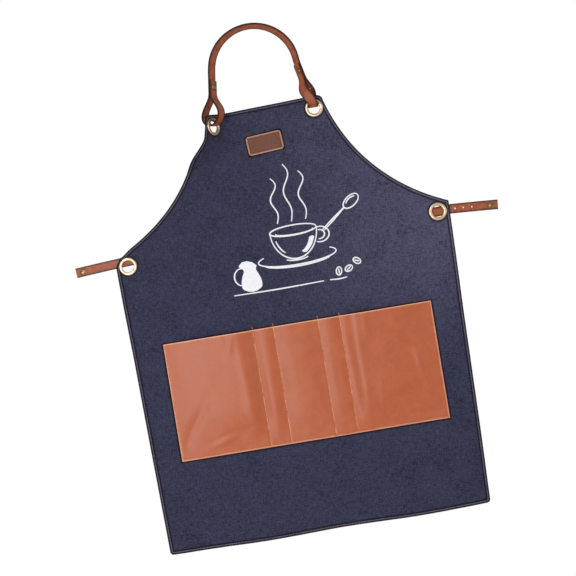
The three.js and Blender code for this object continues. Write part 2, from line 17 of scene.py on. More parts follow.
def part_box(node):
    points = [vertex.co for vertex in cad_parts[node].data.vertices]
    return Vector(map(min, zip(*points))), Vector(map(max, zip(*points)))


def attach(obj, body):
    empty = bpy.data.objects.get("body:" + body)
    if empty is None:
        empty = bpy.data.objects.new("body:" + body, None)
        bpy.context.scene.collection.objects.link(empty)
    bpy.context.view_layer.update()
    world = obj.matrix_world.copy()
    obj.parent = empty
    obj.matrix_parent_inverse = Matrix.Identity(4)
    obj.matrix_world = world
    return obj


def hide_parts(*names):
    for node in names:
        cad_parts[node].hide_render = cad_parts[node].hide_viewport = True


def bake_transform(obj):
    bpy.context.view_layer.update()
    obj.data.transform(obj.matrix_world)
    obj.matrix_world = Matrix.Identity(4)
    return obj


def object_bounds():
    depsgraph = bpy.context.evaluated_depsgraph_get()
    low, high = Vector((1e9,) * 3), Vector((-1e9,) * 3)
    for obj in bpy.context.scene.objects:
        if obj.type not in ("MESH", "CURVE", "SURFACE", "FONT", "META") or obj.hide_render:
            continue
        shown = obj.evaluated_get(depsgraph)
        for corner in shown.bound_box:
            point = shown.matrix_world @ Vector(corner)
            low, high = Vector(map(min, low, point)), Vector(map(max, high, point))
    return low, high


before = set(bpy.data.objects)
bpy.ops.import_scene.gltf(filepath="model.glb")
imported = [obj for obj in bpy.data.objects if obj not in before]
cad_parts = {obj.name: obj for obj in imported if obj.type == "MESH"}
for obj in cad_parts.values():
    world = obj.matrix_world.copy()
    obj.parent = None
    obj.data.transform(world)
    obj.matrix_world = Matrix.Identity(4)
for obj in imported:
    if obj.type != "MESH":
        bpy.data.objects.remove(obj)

bl_info = {
    "name": "Bib Apron",
    "version": (1, 0, 0),
    "blender": (4, 5, 0),
    "location": "View3D > Sidebar > Apron",
    "description": "Builds a denim bib apron with leather pocket and straps piece by piece",
    "category": "Object",
}

CAD_BOX = [list(corner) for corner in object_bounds()]


def centre_of(node):
    """The middle of a CAD node's box."""
    low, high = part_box(node)
    return (low + high) / 2


# ---------- the pattern's driving sizes ----------

GAP = 0.0003
DENIM = 0.0012
DENIM_FACE = DENIM / 2
HEM_THICKNESS = 0.0016
LABEL_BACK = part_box("leather_label")[1].y
BIB_Y = LABEL_BACK + DENIM_FACE + GAP
WAIST_LEVEL = (centre_of("grommet_waist_left").z + centre_of("grommet_waist_right").z) / 2

TOP = 0.265
HEM = -0.577
SIDE_CORNER = Vector((0.332, 0.018))
ARMHOLE_PULL = (Vector((0.211, 0.070)), Vector((0.152, 0.158)))
BIB_HALF_WIDTH = 0.125
BIB_SHIFT = -0.003
HEM_HALF_WIDTH = 0.319
BIB_CORNER = 0.012
HEM_CORNER = 0.007
LEFT_CORNER_WEAR = 0.010
LEFT_CORNER_REACH = 0.010

SETBACK = -0.010
SETBACK_RANGE = (0.050, 0.165)
CURL_ANGLE = math.radians(50)
CURL_START = -0.073
CURL_ARC = 0.012
CURL_RANGE = (0.158, 0.222)
# The waist and the bib lean: their right side hangs higher than their left, by this share of u.
WAIST_LEAN = 0.0122
WAIST_LEAN_RANGE = (-0.150, 0.0)
BIB_LEAN = 0.022
HEM_WAVE = 0.007
HEM_WAVE_LENGTH = 0.290
HEM_WAVE_SHIFT = 0.040
HEM_WAVE_FROM = -0.415
SIDE_SWEEP = 0.008
SIDE_SWEEP_FROM = 0.272
SIDE_SWEEP_RANGE = (-0.060, -0.200)

GROMMET_HOLE = 0.0114
GROMMET_BARREL = 0.0122
GROMMET_FLANGE = 0.0176
CLOTH_HOLE = 0.0132
GROMMETS = {
    "bib_left": Vector((-0.1077, 0.241)),
    "bib_right": Vector((0.1023, 0.241)),
    "waist_left": Vector((-0.308, 0.0)),
    "waist_right": Vector((0.308, 0.0)),
}

LABEL_CENTRE = Vector((-0.0045, 0.1925))
LABEL_SIZE = Vector((0.070, 0.037))
LABEL_CORNER = 0.005
LABEL_LEATHER = 0.0016
LABEL_SEAM = 0.0046
LABEL_TURN = math.radians(4)
POCKET_LEFT, POCKET_RIGHT = -0.266, 0.266
POCKET_MOUTH, POCKET_BOTTOM = -0.166, -0.399
POCKET_SIZE = (POCKET_RIGHT - POCKET_LEFT, POCKET_MOUTH - POCKET_BOTTOM)
POCKET_SEAMS = (-0.088, -0.047, 0.041, 0.084)
POCKET_LEATHER = 0.0016
POCKET_HEM = 0.0032

STRAP_LEATHER = 0.0026


# ---------- shapes of the cloth ----------


def ease(start, end, x):
    """0 before start, 1 after end, and a smooth rise between them."""
    t = min(1.0, max(0.0, (x - start) / (end - start)))
    return t * t * (3 - 2 * t)


def lerp(start, end, share):
    return start + (end - start) * share


def bib_centre(v):
    return BIB_SHIFT * ease(SIDE_CORNER.y, TOP, v)


def corner_arc(radius, steps):
    """How far a rounded corner is from its square corner, sideways and along, at each step of the arc."""
    for step in range(steps + 1):
        turn = math.pi / 2 * step / steps
        yield radius * (1 - math.sin(turn)), radius * (1 - math.cos(turn))


def panel_rows():
    """Half widths of the panel by height, from the hem to the top edge."""
    rows = [(HEM_HALF_WIDTH - inwards, HEM + up) for inwards, up in corner_arc(HEM_CORNER, 6)]
    side_steps = 118
    for step in range(1, side_steps + 1):
        share = step / side_steps
        half = lerp(HEM_HALF_WIDTH, SIDE_CORNER.x, share)
        rows.append((half, lerp(HEM + HEM_CORNER, SIDE_CORNER.y, share)))
    shoulder = Vector((BIB_HALF_WIDTH, TOP - BIB_CORNER))
    curve = interpolate_bezier(SIDE_CORNER, *ARMHOLE_PULL, shoulder, 74)
    rows += [(point.x, point.y) for point in curve[1:]]
    arc = list(corner_arc(BIB_CORNER, 9))[::-1]
    rows += [(BIB_HALF_WIDTH - inwards, TOP - down) for inwards, down in arc[1:]]
    return rows


ROWS = panel_rows()


def row_ends(half, v):
    """The left and right ends of the panel at a height. The left corner at the waist is worn round."""
    worn = LEFT_CORNER_WEAR * math.exp(-(((v - SIDE_CORNER.y) / LEFT_CORNER_REACH) ** 2))
    return bib_centre(v) - half + worn, bib_centre(v) + half


def outline_points(spacing):
    """The panel's closed outline, anticlockwise from the left end of the hem, at an even spacing."""
    right = [Vector((row_ends(half, v)[1], v)) for half, v in ROWS]
    left = [Vector((row_ends(half, v)[0], v)) for half, v in reversed(ROWS)]
    return even_points([left[-1], *right, *left], spacing)


def even_points(route, spacing):
    """Points along a route of straight runs, as near to the spacing as divides it evenly."""
    total = sum((b - a).length for a, b in zip(route, route[1:]))
    count = max(1, round(total / spacing))
    points, walked, target = [], 0.0, 0.0
    for a, b in zip(route, route[1:]):
        run = (b - a).length
        while target <= walked + run + 1e-9 and len(points) <= count:
            share = (target - walked) / run if run > 0 else 0.0
            points.append(a.lerp(b, share))
            target += total / count
        walked += run
    return points


def outline_finder():
    points = outline_points(0.001)
    tree = KDTree(len(points))
    for index, point in enumerate(points):
        tree.insert((point.x, point.y, 0), index)
    tree.balance()
    return tree


OUTLINE = outline_finder()


def edge_distance(u, v):
    """How far a point of the pattern is inside the panel's outline."""
    return OUTLINE.find((u, v, 0))[2]


def ripple(u, v):
    """Soft unevenness of cloth that has lain folded. It is still round the grommets and the label."""
    loose = ease(0.050, 0.085, (Vector((u, v)) - LABEL_CENTRE).length)
    for place in GROMMETS.values():
        loose *= ease(0.020, 0.060, (Vector((u, v)) - place).length)
    if loose == 0:
        return 0.0
    slow = noise.noise(Vector((u * 7, v * 5, 0.3)))
    quick = noise.noise(Vector((u * 23, v * 16, 7.1)))
    pucker = noise.noise(Vector((u * 75, v * 75, 3.7))) * (1 - ease(0.006, 0.020, edge_distance(u, v)))
    settings = bpy.context.scene.apron_cloth
    return loose * (settings.ripple * (0.7 * slow + 0.3 * quick) + settings.pucker * pucker)


def cloth_middle(u, v):
    """The point of the hanging cloth, half way through its thickness."""
    x, y = u, SETBACK * (1 - ease(*SETBACK_RANGE, v))
    curl = CURL_ANGLE * ease(*CURL_RANGE, v)
    past = CURL_START - u
    if past > 0 and curl > 1e-4:
        radius = CURL_ARC / curl
        turned = min(past / CURL_ARC, 1) * curl
        straight = max(past - CURL_ARC, 0)
        x = CURL_START - radius * math.sin(turned) - straight * math.cos(curl)
        y -= radius * (1 - math.cos(turned)) + straight * math.sin(curl)
    wave = HEM_WAVE * ease(HEM_WAVE_FROM, HEM, v)
    y += wave * math.sin(math.tau * (u + HEM_WAVE_SHIFT) / HEM_WAVE_LENGTH)
    y += SIDE_SWEEP * ease(SIDE_SWEEP_FROM, SIDE_CORNER.x, abs(u)) * ease(*SIDE_SWEEP_RANGE, v)
    lean = WAIST_LEAN * ease(*WAIST_LEAN_RANGE, v) + BIB_LEAN * ease(0, TOP, v)
    return Vector((x, BIB_Y + y + ripple(u, v), WAIST_LEVEL + v + lean * u))


def normal_on(surface, u, v):
    """The way a surface looks at a point of the pattern. It looks to the front where it is flat."""
    step = 0.0005
    along_u = surface(u + step, v) - surface(u - step, v)
    along_v = surface(u, v + step) - surface(u, v - step)
    return along_u.cross(along_v).normalized()


def lifted(surface, u, v, height):
    """A point that stands a height in front of a surface."""
    return surface(u, v) + normal_on(surface, u, v) * height


# ---------- the pocket's surface ----------

POCKET_LINES = (POCKET_LEFT, *POCKET_SEAMS, POCKET_RIGHT)
# For each compartment: how far its mouth stands off the cloth, and how far from its left and right seams
# the leather takes to rise.
COMPARTMENTS = (
    (0.0092, 0.150, 0.022),
    (0.0026, 0.016, 0.015),
    (0.0016, 0.034, 0.030),
    (0.0018, 0.017, 0.014),
    (0.0092, 0.036, 0.110),
)
POCKET_RISE = 0.090
# Soft folds in the leather: middle, half length and half width, lean from upright in degrees, and height.
POCKET_FOLDS = (
    ((0.1060, -0.270), (0.150, 0.012), -1, 0.0022),
    ((0.1300, -0.192), (0.030, 0.006), 4, 0.0012),
    ((0.2260, -0.275), (0.040, 0.009), -8, 0.0034),
    ((0.1420, -0.345), (0.045, 0.006), 3, 0.0009),
    ((0.1950, -0.372), (0.050, 0.005), 78, 0.0011),
    ((-0.1180, -0.270), (0.130, 0.008), -2, 0.0014),
    ((-0.1360, -0.188), (0.018, 0.005), 12, 0.0014),
    ((-0.1500, -0.183), (0.014, 0.004), -14, 0.0010),
    ((-0.2280, -0.330), (0.060, 0.009), 34, -0.0016),
    ((-0.1800, -0.372), (0.050, 0.006), 68, 0.0018),
    ((-0.1550, -0.360), (0.040, 0.006), 75, -0.0013),
    ((-0.1900, -0.270), (0.060, 0.022), -12, 0.0012),
    ((-0.0680, -0.290), (0.100, 0.008), 1, 0.0010),
    ((0.0000, -0.290), (0.080, 0.012), 2, 0.0004),
)


def pocket_fold(u, v):
    height = 0.0
    for (mid_u, mid_v), (half_length, half_width), lean, rise in POCKET_FOLDS:
        turn = math.radians(lean)
        du, dv = u - mid_u, v - mid_v
        along = dv * math.cos(turn) + du * math.sin(turn)
        across = du * math.cos(turn) - dv * math.sin(turn)
        height += rise * math.exp(-((along / half_length) ** 2) - (across / half_width) ** 2)
    return height


def pocket_bulge(u, v):
    """How far the back of the pocket's leather stands off the cloth."""
    last = len(COMPARTMENTS) - 1
    index = next((i for i in range(last) if u <= POCKET_LINES[i + 1]), last)
    depth, rise_left, rise_right = COMPARTMENTS[index]
    near, far = u - POCKET_LINES[index], POCKET_LINES[index + 1] - u
    loose = ease(0, rise_left, near) * ease(0, rise_right, far)
    up = v - POCKET_BOTTOM
    crumple = 0.0010 * noise.noise(Vector((u * 60, v * 38, 1.9))) * (1 - ease(0.010, 0.050, up))
    grainy = 0.0006 * noise.noise(Vector((u * 24, v * 17, 5.2)))
    free = min(ease(0, 0.020, near), ease(0, 0.020, far)) * ease(0.004, 0.030, up)
    return depth * loose * ease(0, POCKET_RISE, up) + free * (pocket_fold(u, v) + crumple + grainy)


# ---------- mesh helpers ----------


def mapped_grid(columns, rows, place):
    """A grid of squares whose corner at a column and row stands where place() says."""
    bm = bmesh.new()
    bmesh.ops.create_grid(bm, x_segments=columns, y_segments=rows, size=0.5)
    for vert in bm.verts:
        vert.co = place(round((vert.co.x + 0.5) * columns), round((vert.co.y + 0.5) * rows))
    return bm


def keep_pattern(bm):
    """Keeps each corner's flat place as the map that the weave follows."""
    layer = bm.loops.layers.uv.new("pattern")
    for face in bm.faces:
        for loop in face.loops:
            loop[layer].uv = loop.vert.co.xy


def mark_edge(bm, distance):
    """Writes how far each corner is from its piece's cut edge, for the materials."""
    layer = bm.verts.layers.float.new("edge_distance")
    for vert in bm.verts:
        vert[layer] = distance(vert.co)


def lathed(profile, steps=48):
    """A profile of (radius, height) pairs turned round the Z axis."""
    bm = bmesh.new()
    verts = [bm.verts.new((radius, 0, height)) for radius, height in profile]
    edges = [bm.edges.new(pair) for pair in zip(verts, verts[1:])]
    if profile[0][0] > 0:
        edges.append(bm.edges.new((verts[-1], verts[0])))
    bmesh.ops.spin(
        bm, geom=verts + edges, cent=(0, 0, 0), axis=(0, 0, 1), dvec=(0, 0, 0),
        angle=math.tau, steps=steps, use_merge=True, use_duplicate=False)
    bmesh.ops.remove_doubles(bm, verts=bm.verts, dist=1e-6)
    bmesh.ops.recalc_face_normals(bm, faces=bm.faces)
    return bm


def standing_on(point, outward, upright=Vector((0, 0, 1))):
    """Puts what was made round the Z axis at a point, with its top looking outward."""
    out = outward.normalized()
    side = upright.cross(out).normalized()
    return Matrix.Translation(point) @ Matrix((side, out.cross(side), out)).transposed().to_4x4()


def freeze(piece):
    """Makes what the modifiers give the piece's own mesh."""
    graph = bpy.context.evaluated_depsgraph_get()
    mesh = bpy.data.meshes.new_from_object(
        piece.evaluated_get(graph), preserve_all_data_layers=True, depsgraph=graph)
    piece.modifiers.clear()
    piece.data = mesh


def new_object(name, bm):
    mesh = bpy.data.meshes.new(name)
    bm.to_mesh(mesh)
    bm.free()
    made = bpy.data.objects.new(name, mesh)
    bpy.context.scene.collection.objects.link(made)
    return made


def add_piece(name, bm, surface, body, nodes=(), modifiers=(), groups=(), sharp=35):
    """Makes a finished piece of a bmesh, rides it on its body and lets it stand for CAD nodes.

    Without a body the piece is left free.
    """
    piece = new_object(name, bm)
    piece.data.materials.append(surface)
    for group in groups:
        piece.vertex_groups.new(name=group)
    for kind, options in modifiers:
        modifier = piece.modifiers.new(kind.title(), kind)
        for option, value in options.items():
            setattr(modifier, option, value)
    if modifiers:
        freeze(piece)
    piece.data.shade_smooth()
    piece.data.set_sharp_from_angle(angle=math.radians(sharp))
    if body:
        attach(piece, body)
    if nodes:
        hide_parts(*nodes)
    return piece


def cut_out(bm, cutters):
    """A bmesh with the solids of other bmeshes taken away."""
    whole = new_object("whole", bm)
    tools = [new_object("tool", cutter) for cutter in cutters]
    for tool in tools:
        modifier = whole.modifiers.new("Cut", "BOOLEAN")
        modifier.operation = "DIFFERENCE"
        modifier.solver = "EXACT"
        modifier.object = tool
    freeze(whole)
    result = bmesh.new()
    result.from_mesh(whole.data)
    for scratch in [whole, *tools]:
        bpy.data.objects.remove(scratch)
    return result


def thickened(bm, thickness, edge_round=0.0):
    """A sheet given its thickness, equally to both sides, with its rim rounded over."""
    sheet = new_object("sheet", bm)
    solid = sheet.modifiers.new("Thickness", "SOLIDIFY")
    solid.thickness = thickness
    solid.offset = 0
    if edge_round:
        rim = sheet.modifiers.new("Rim", "BEVEL")
        rim.width = edge_round
        rim.segments = 2
        rim.limit_method = "ANGLE"
        rim.angle_limit = math.radians(50)
    freeze(sheet)
    result = bmesh.new()
    result.from_mesh(sheet.data)
    bpy.data.objects.remove(sheet)
    return result


# ---------- shader helpers ----------


def add_node(tree, kind, inputs=None, **options):
    """A new node with its options set, and each input given a value or joined to an output."""
    node = tree.nodes.new(kind)
    for option, value in options.items():
        setattr(node, option, value)
    for socket, value in (inputs or {}).items():
        if isinstance(value, bpy.types.NodeSocket):
            tree.links.new(value, node.inputs[socket])
        else:
            node.inputs[socket].default_value = value
    return node


def maths(tree, operation, a, b=0.0, clamp=False):
    node = add_node(tree, "ShaderNodeMath", {0: a, 1: b}, operation=operation, use_clamp=clamp)
    return node.outputs[0]


def weighed(tree, *parts):
    """The sum of values, each times its weight."""
    weighted = [maths(tree, "MULTIPLY", value, weight) for value, weight in parts]
    total = weighted[0]
    for part in weighted[1:]:
        total = maths(tree, "ADD", total, part)
    return total


def vector_maths(tree, operation, a, b=(0, 0, 0)):
    return add_node(tree, "ShaderNodeVectorMath", {0: a, 1: b}, operation=operation)


def blended(tree, share, a, b):
    return add_node(tree, "ShaderNodeMix", {0: share, 6: a, 7: b}, data_type="RGBA").outputs[2]


def ranged(tree, value, start, end, low=0.0, high=1.0):
    """Maps start to end onto low to high, and stays within them."""
    inputs = {"Value": value, "From Min": start, "From Max": end, "To Min": low, "To Max": high}
    return add_node(tree, "ShaderNodeMapRange", inputs, interpolation_type="SMOOTHSTEP").outputs[0]


def noise_value(tree, vector, scale, detail=2.0, roughness=0.5, distortion=0.0):
    inputs = {
        "Vector": vector, "Scale": scale, "Detail": detail, "Roughness": roughness, "Distortion": distortion}
    return add_node(tree, "ShaderNodeTexNoise", inputs).outputs["Fac"]


def stretched(tree, vector, scale):
    return add_node(tree, "ShaderNodeMapping", {"Vector": vector, "Scale": scale}).outputs[0]


def new_group(name, inputs, outputs):
    """An empty shader group with its sockets. Gives the tree, its inputs and its outputs."""
    tree = bpy.data.node_groups.new(name, "ShaderNodeTree")
    for label, kind, default in inputs:
        socket = tree.interface.new_socket(label, in_out="INPUT", socket_type=f"NodeSocket{kind}")
        if default is not None:
            socket.default_value = default
    for label, kind in outputs:
        tree.interface.new_socket(label, in_out="OUTPUT", socket_type=f"NodeSocket{kind}")
    return tree, tree.nodes.new("NodeGroupInput").outputs, tree.nodes.new("NodeGroupOutput").inputs


def use_group(tree, name, inputs):
    return add_node(tree, "ShaderNodeGroup", inputs, node_tree=bpy.data.node_groups[name]).outputs


def new_material(name, roughness, **constants):
    """A material with a Principled surface. Gives it, its tree, its shader and object coordinates."""
    surface = bpy.data.materials.new(name)
    surface.use_nodes = True
    tree = surface.node_tree
    shader = tree.nodes["Principled BSDF"]
    shader.inputs["Roughness"].default_value = roughness
    for socket, value in constants.items():
        shader.inputs[socket.replace("_", " ").title().replace("Ior", "IOR")].default_value = value
    place = tree.nodes.new("ShaderNodeTexCoord").outputs["Object"]
    return surface, tree, shader, place


def attribute(tree, name):
    return add_node(tree, "ShaderNodeAttribute", attribute_name=name).outputs["Fac"]


def set_bump(tree, shader, height, strength, distance):
    inputs = {"Height": height, "Strength": strength, "Distance": distance}
    bump = add_node(tree, "ShaderNodeBump", inputs)
    tree.links.new(bump.outputs[0], shader.inputs["Normal"])


def plain_to_linear(value):
    return value / 12.92 if value <= 0.04045 else ((value + 0.055) / 1.055) ** 2.4


def colour(red, green, blue):
    """A colour given as on a screen, from 0 to 255, as Blender's linear numbers."""
    return tuple(plain_to_linear(part / 255) for part in (red, green, blue))


def rgba(rgb):
    return (*rgb, 1.0)


# ---------- shader groups ----------


def make_twill_group():
    """Slanted yarn ridges, with yarns of uneven thickness along both directions of the cloth."""
    tree, given, out = new_group(
        "Twill weave",
        [("Pattern", "Vector", None), ("Pitch", "Float", 0.0015), ("Unevenness", "Float", 0.5)],
        [("Yarn", "Float"), ("Height", "Float")])
    split = add_node(tree, "ShaderNodeSeparateXYZ", {0: given["Pattern"]}).outputs
    slant = maths(tree, "ADD", split[0], maths(tree, "MULTIPLY", split[1], 0.8))
    wander = maths(tree, "MULTIPLY", noise_value(tree, given["Pattern"], 260.0), 0.0012)
    phase = maths(tree, "DIVIDE", maths(tree, "ADD", slant, wander), given["Pitch"])
    ridge = maths(tree, "SINE", maths(tree, "MULTIPLY", phase, math.tau))
    ridge = maths(tree, "ADD", maths(tree, "MULTIPLY", ridge, 0.5), 0.5)
    warp = noise_value(tree, stretched(tree, given["Pattern"], (900, 130, 1)), 1.0, 2.0, 0.6)
    weft = noise_value(tree, stretched(tree, given["Pattern"], (150, 800, 1)), 1.0, 2.0, 0.6)
    slub = ranged(tree, weighed(tree, (warp, 0.5), (weft, 0.5)), 0.34, 0.66)
    mixed = add_node(
        tree, "ShaderNodeMix", {0: given["Unevenness"], 2: ridge, 3: slub}, data_type="FLOAT").outputs[0]
    tree.links.new(mixed, out["Yarn"])
    tree.links.new(maths(tree, "ADD", ridge, maths(tree, "MULTIPLY", slub, 0.6)), out["Height"])


def make_fleck_group():
    """Short pale runs of yarn, some along the cloth and some across it."""
    tree, given, out = new_group(
        "Yarn flecks",
        [("Pattern", "Vector", None), ("Length", "Float", 0.011), ("Width", "Float", 0.0026)],
        [("Flecks", "Float")])
    slow = maths(tree, "DIVIDE", 1.0, given["Length"])
    fast = maths(tree, "DIVIDE", 1.0, given["Width"])
    runs = []
    for first, second in ((fast, slow), (slow, fast)):
        scale = add_node(tree, "ShaderNodeCombineXYZ", {0: first, 1: second, 2: 1.0}).outputs[0]
        place = vector_maths(tree, "MULTIPLY", given["Pattern"], scale).outputs[0]
        runs.append(noise_value(tree, place, 1.0, 3.0, 0.75))
    grain = noise_value(tree, given["Pattern"], 520.0, 3.0, 0.8)
    mixed = weighed(tree, (maths(tree, "ADD", *runs), 0.3), (grain, 0.4))
    tree.links.new(ranged(tree, mixed, 0.42, 0.58), out["Flecks"])


def make_mottle_group():
    """Cloudy variation at two sizes, for dye, tan and tarnish that took unevenly."""
    tree, given, out = new_group(
        "Uneven colour",
        [("Position", "Vector", None), ("Size", "Float", 0.05), ("Contrast", "Float", 0.5)],
        [("Cloud", "Float")])
    scale = maths(tree, "DIVIDE", 1.0, given["Size"])
    broad = noise_value(tree, given["Position"], scale, 4.0, 0.6, 0.4)
    fine = noise_value(tree, given["Position"], maths(tree, "MULTIPLY", scale, 6.0), 3.0, 0.55)
    both = weighed(tree, (broad, 0.65), (fine, 0.35))
    reach = maths(tree, "SUBTRACT", 0.6, maths(tree, "MULTIPLY", given["Contrast"], 0.5))
    low, high = maths(tree, "SUBTRACT", 0.5, reach), maths(tree, "ADD", 0.5, reach)
    tree.links.new(ranged(tree, both, low, high), out["Cloud"])


def make_leather_group():
    """Pebbled grain with fine pores. Fine creases lie between the pebbles."""
    tree, given, out = new_group(
        "Leather grain",
        [("Position", "Vector", None), ("Grain", "Float", 0.0016)],
        [("Height", "Float"), ("Pores", "Float")])
    scale = maths(tree, "DIVIDE", 1.0, given["Grain"])
    wobble = add_node(tree, "ShaderNodeTexNoise", {"Vector": given["Position"], "Scale": 320.0})
    moved = add_node(
        tree, "ShaderNodeVectorMath", {0: wobble.outputs["Color"], 3: 0.0012}, operation="SCALE")
    place = vector_maths(tree, "ADD", given["Position"], moved.outputs[0]).outputs[0]
    cells = add_node(
        tree, "ShaderNodeTexVoronoi", {"Vector": place, "Scale": scale}, feature="DISTANCE_TO_EDGE")
    pebble = ranged(tree, cells.outputs[0], 0.0, 0.25)
    pores = noise_value(tree, given["Position"], maths(tree, "MULTIPLY", scale, 1.6), 3.0, 0.65)
    tree.links.new(maths(tree, "ADD", maths(tree, "MULTIPLY", pebble, 0.7), pores), out["Height"])
    tree.links.new(ranged(tree, pores, 0.35, 0.65), out["Pores"])


def make_edge_wear_and_shade_group():
    """A band along a cut edge whose inner limit wanders, as wear does. On the leather it is the cut edge's
    own colour; on the denim's hem it is painted shade.
    """
    tree, given, out = new_group(
        "Edge wear and shade",
        [("Distance", "Float", 1.0), ("Width", "Float", 0.002), ("Position", "Vector", None)],
        [("Band", "Float")])
    wander = noise_value(tree, given["Position"], 160.0, 3.0)
    limit = maths(tree, "MULTIPLY", given["Width"], maths(tree, "ADD", wander, 0.5))
    inside = ranged(tree, given["Distance"], 0.0, limit)
    tree.links.new(maths(tree, "SUBTRACT", 1.0, inside, clamp=True), out["Band"])


def make_metal_group():
    """Fine scratches and patches where the polish has dulled."""
    tree, given, out = new_group(
        "Handled metal",
        [("Position", "Vector", None)],
        [("Scratches", "Float"), ("Dulled", "Float")])
    lines = noise_value(tree, stretched(tree, given["Position"], (1600, 260, 900)), 1.0, 2.0, 0.7)
    patches = noise_value(tree, given["Position"], 170.0, 4.0, 0.6)
    tree.links.new(ranged(tree, lines, 0.40, 0.70), out["Scratches"])
    tree.links.new(ranged(tree, patches, 0.38, 0.68), out["Dulled"])


def make_groups():
    make_twill_group()
    make_fleck_group()
    make_mottle_group()
    make_leather_group()
    make_edge_wear_and_shade_group()
    make_metal_group()


# ---------- materials ----------

TWILL_PITCH = 0.0024
HEM_FOLD_WIDTH = 0.0036
# The painted shade of the groove beside the hem's seam: how far inside the seam it is, and its half width.
HEM_GROOVE_SHIFT = 0.0026
HEM_GROOVE_REACH = 0.0026
# How far the painted contact shadow reaches out from the pocket, the label and the grommets.
CONTACT_SHADE_REACH = 0.0050
LABEL_BORDER = 0.0040
POCKET_BORDER = 0.0034
STRAP_BORDER = 0.0052


def rectangle_distance(tree, pattern, centre, size, turn=0.0):
    """How far a point of the pattern is outside a rectangle on it."""
    offset = vector_maths(tree, "SUBTRACT", pattern, (*centre, 0)).outputs[0]
    turned = add_node(tree, "ShaderNodeVectorRotate", {"Vector": offset, "Angle": -turn}).outputs[0]
    apart = vector_maths(tree, "ABSOLUTE", turned).outputs[0]
    past = vector_maths(tree, "SUBTRACT", apart, (size[0] / 2, size[1] / 2, 1)).outputs[0]
    outside = vector_maths(tree, "MAXIMUM", past).outputs[0]
    return vector_maths(tree, "LENGTH", outside).outputs["Value"]


def painted_contact_shade(tree, pattern):
    """Painted shade: a dark line on the denim's front round the pocket, the label and the grommets, where
    their contact shadow falls.
    """
    pocket_centre = ((POCKET_LEFT + POCKET_RIGHT) / 2, (POCKET_MOUTH + POCKET_BOTTOM) / 2)
    from_pocket = rectangle_distance(tree, pattern, pocket_centre, POCKET_SIZE)
    from_label = rectangle_distance(tree, pattern, LABEL_CENTRE, LABEL_SIZE, LABEL_TURN)
    nearest = maths(tree, "MINIMUM", from_pocket, from_label)
    for place in GROMMETS.values():
        apart = vector_maths(tree, "DISTANCE", pattern, (*place, 0)).outputs["Value"]
        nearest = maths(tree, "MINIMUM", nearest, maths(tree, "SUBTRACT", apart, GROMMET_FLANGE))
    facing = tree.nodes.new("ShaderNodeTexCoord").outputs["Normal"]
    to_back = add_node(tree, "ShaderNodeSeparateXYZ", {0: facing}).outputs[1]
    on_front = ranged(tree, to_back, 0.1, -0.1)
    return maths(tree, "MULTIPLY", on_front, ranged(tree, nearest, 0.0, CONTACT_SHADE_REACH, 0.9, 0.0))


def denim_material(settings):
    surface, tree, shader, place = new_material(
        "Indigo denim", 0.9, specular_ior_level=0.1, sheen_weight=0.03, sheen_roughness=0.5)
    pattern = add_node(tree, "ShaderNodeUVMap", uv_map="pattern").outputs[0]
    weave = use_group(tree, "Twill weave", {"Pattern": pattern, "Pitch": TWILL_PITCH, "Unevenness": 0.62})
    cloud = use_group(tree, "Uneven colour", {"Position": pattern, "Size": 0.050, "Contrast": 0.8})["Cloud"]
    flecks = use_group(tree, "Yarn flecks", {"Pattern": pattern, "Length": 0.011, "Width": 0.0026})["Flecks"]
    yarn = weighed(tree, (weave["Yarn"], 0.22), (flecks, 0.54), (cloud, 0.24))
    tone = blended(tree, yarn, rgba(settings.denim_dark), rgba(settings.denim_light))
    faded = blended(tree, maths(tree, "MULTIPLY", cloud, 0.25), tone, rgba(settings.denim_faded))
    split = add_node(tree, "ShaderNodeSeparateXYZ", {0: pattern}).outputs
    right = ranged(tree, split[0], -0.10, 0.32)
    rubbed = maths(tree, "MULTIPLY", right, ranged(tree, split[1], -0.32, -0.02))
    rubbed = maths(tree, "MULTIPLY", rubbed, settings.fade_right)
    faded = blended(tree, maths(tree, "MULTIPLY", rubbed, yarn), faded, rgba(settings.denim_worn))
    edge = attribute(tree, "edge_distance")
    # Painted shade: a dark band along the hem's rolled fold.
    inputs = {"Distance": edge, "Width": HEM_FOLD_WIDTH, "Position": place}
    fold = use_group(tree, "Edge wear and shade", inputs)["Band"]
    # Painted shade in the groove beside the hem's seam.
    from_seam = maths(tree, "ABSOLUTE", maths(tree, "SUBTRACT", edge, settings.seam_inset + HEM_GROOVE_SHIFT))
    groove = maths(tree, "MULTIPLY", ranged(tree, from_seam, HEM_GROOVE_REACH, 0.0008), 0.75)
    # The painted shade of the fold, of the groove and of the contact line round the fittings darkens the
    # denim towards the shade colour.
    dark = maths(tree, "MAXIMUM", maths(tree, "MAXIMUM", fold, groove), painted_contact_shade(tree, pattern))
    final = blended(tree, dark, faded, rgba(settings.denim_shade))
    tree.links.new(final, shader.inputs["Base Color"])
    tree.links.new(ranged(tree, weave["Yarn"], 0.0, 1.0, 0.96, 0.84), shader.inputs["Roughness"])
    set_bump(tree, shader, weave["Height"], 0.55, 0.0004)
    return surface


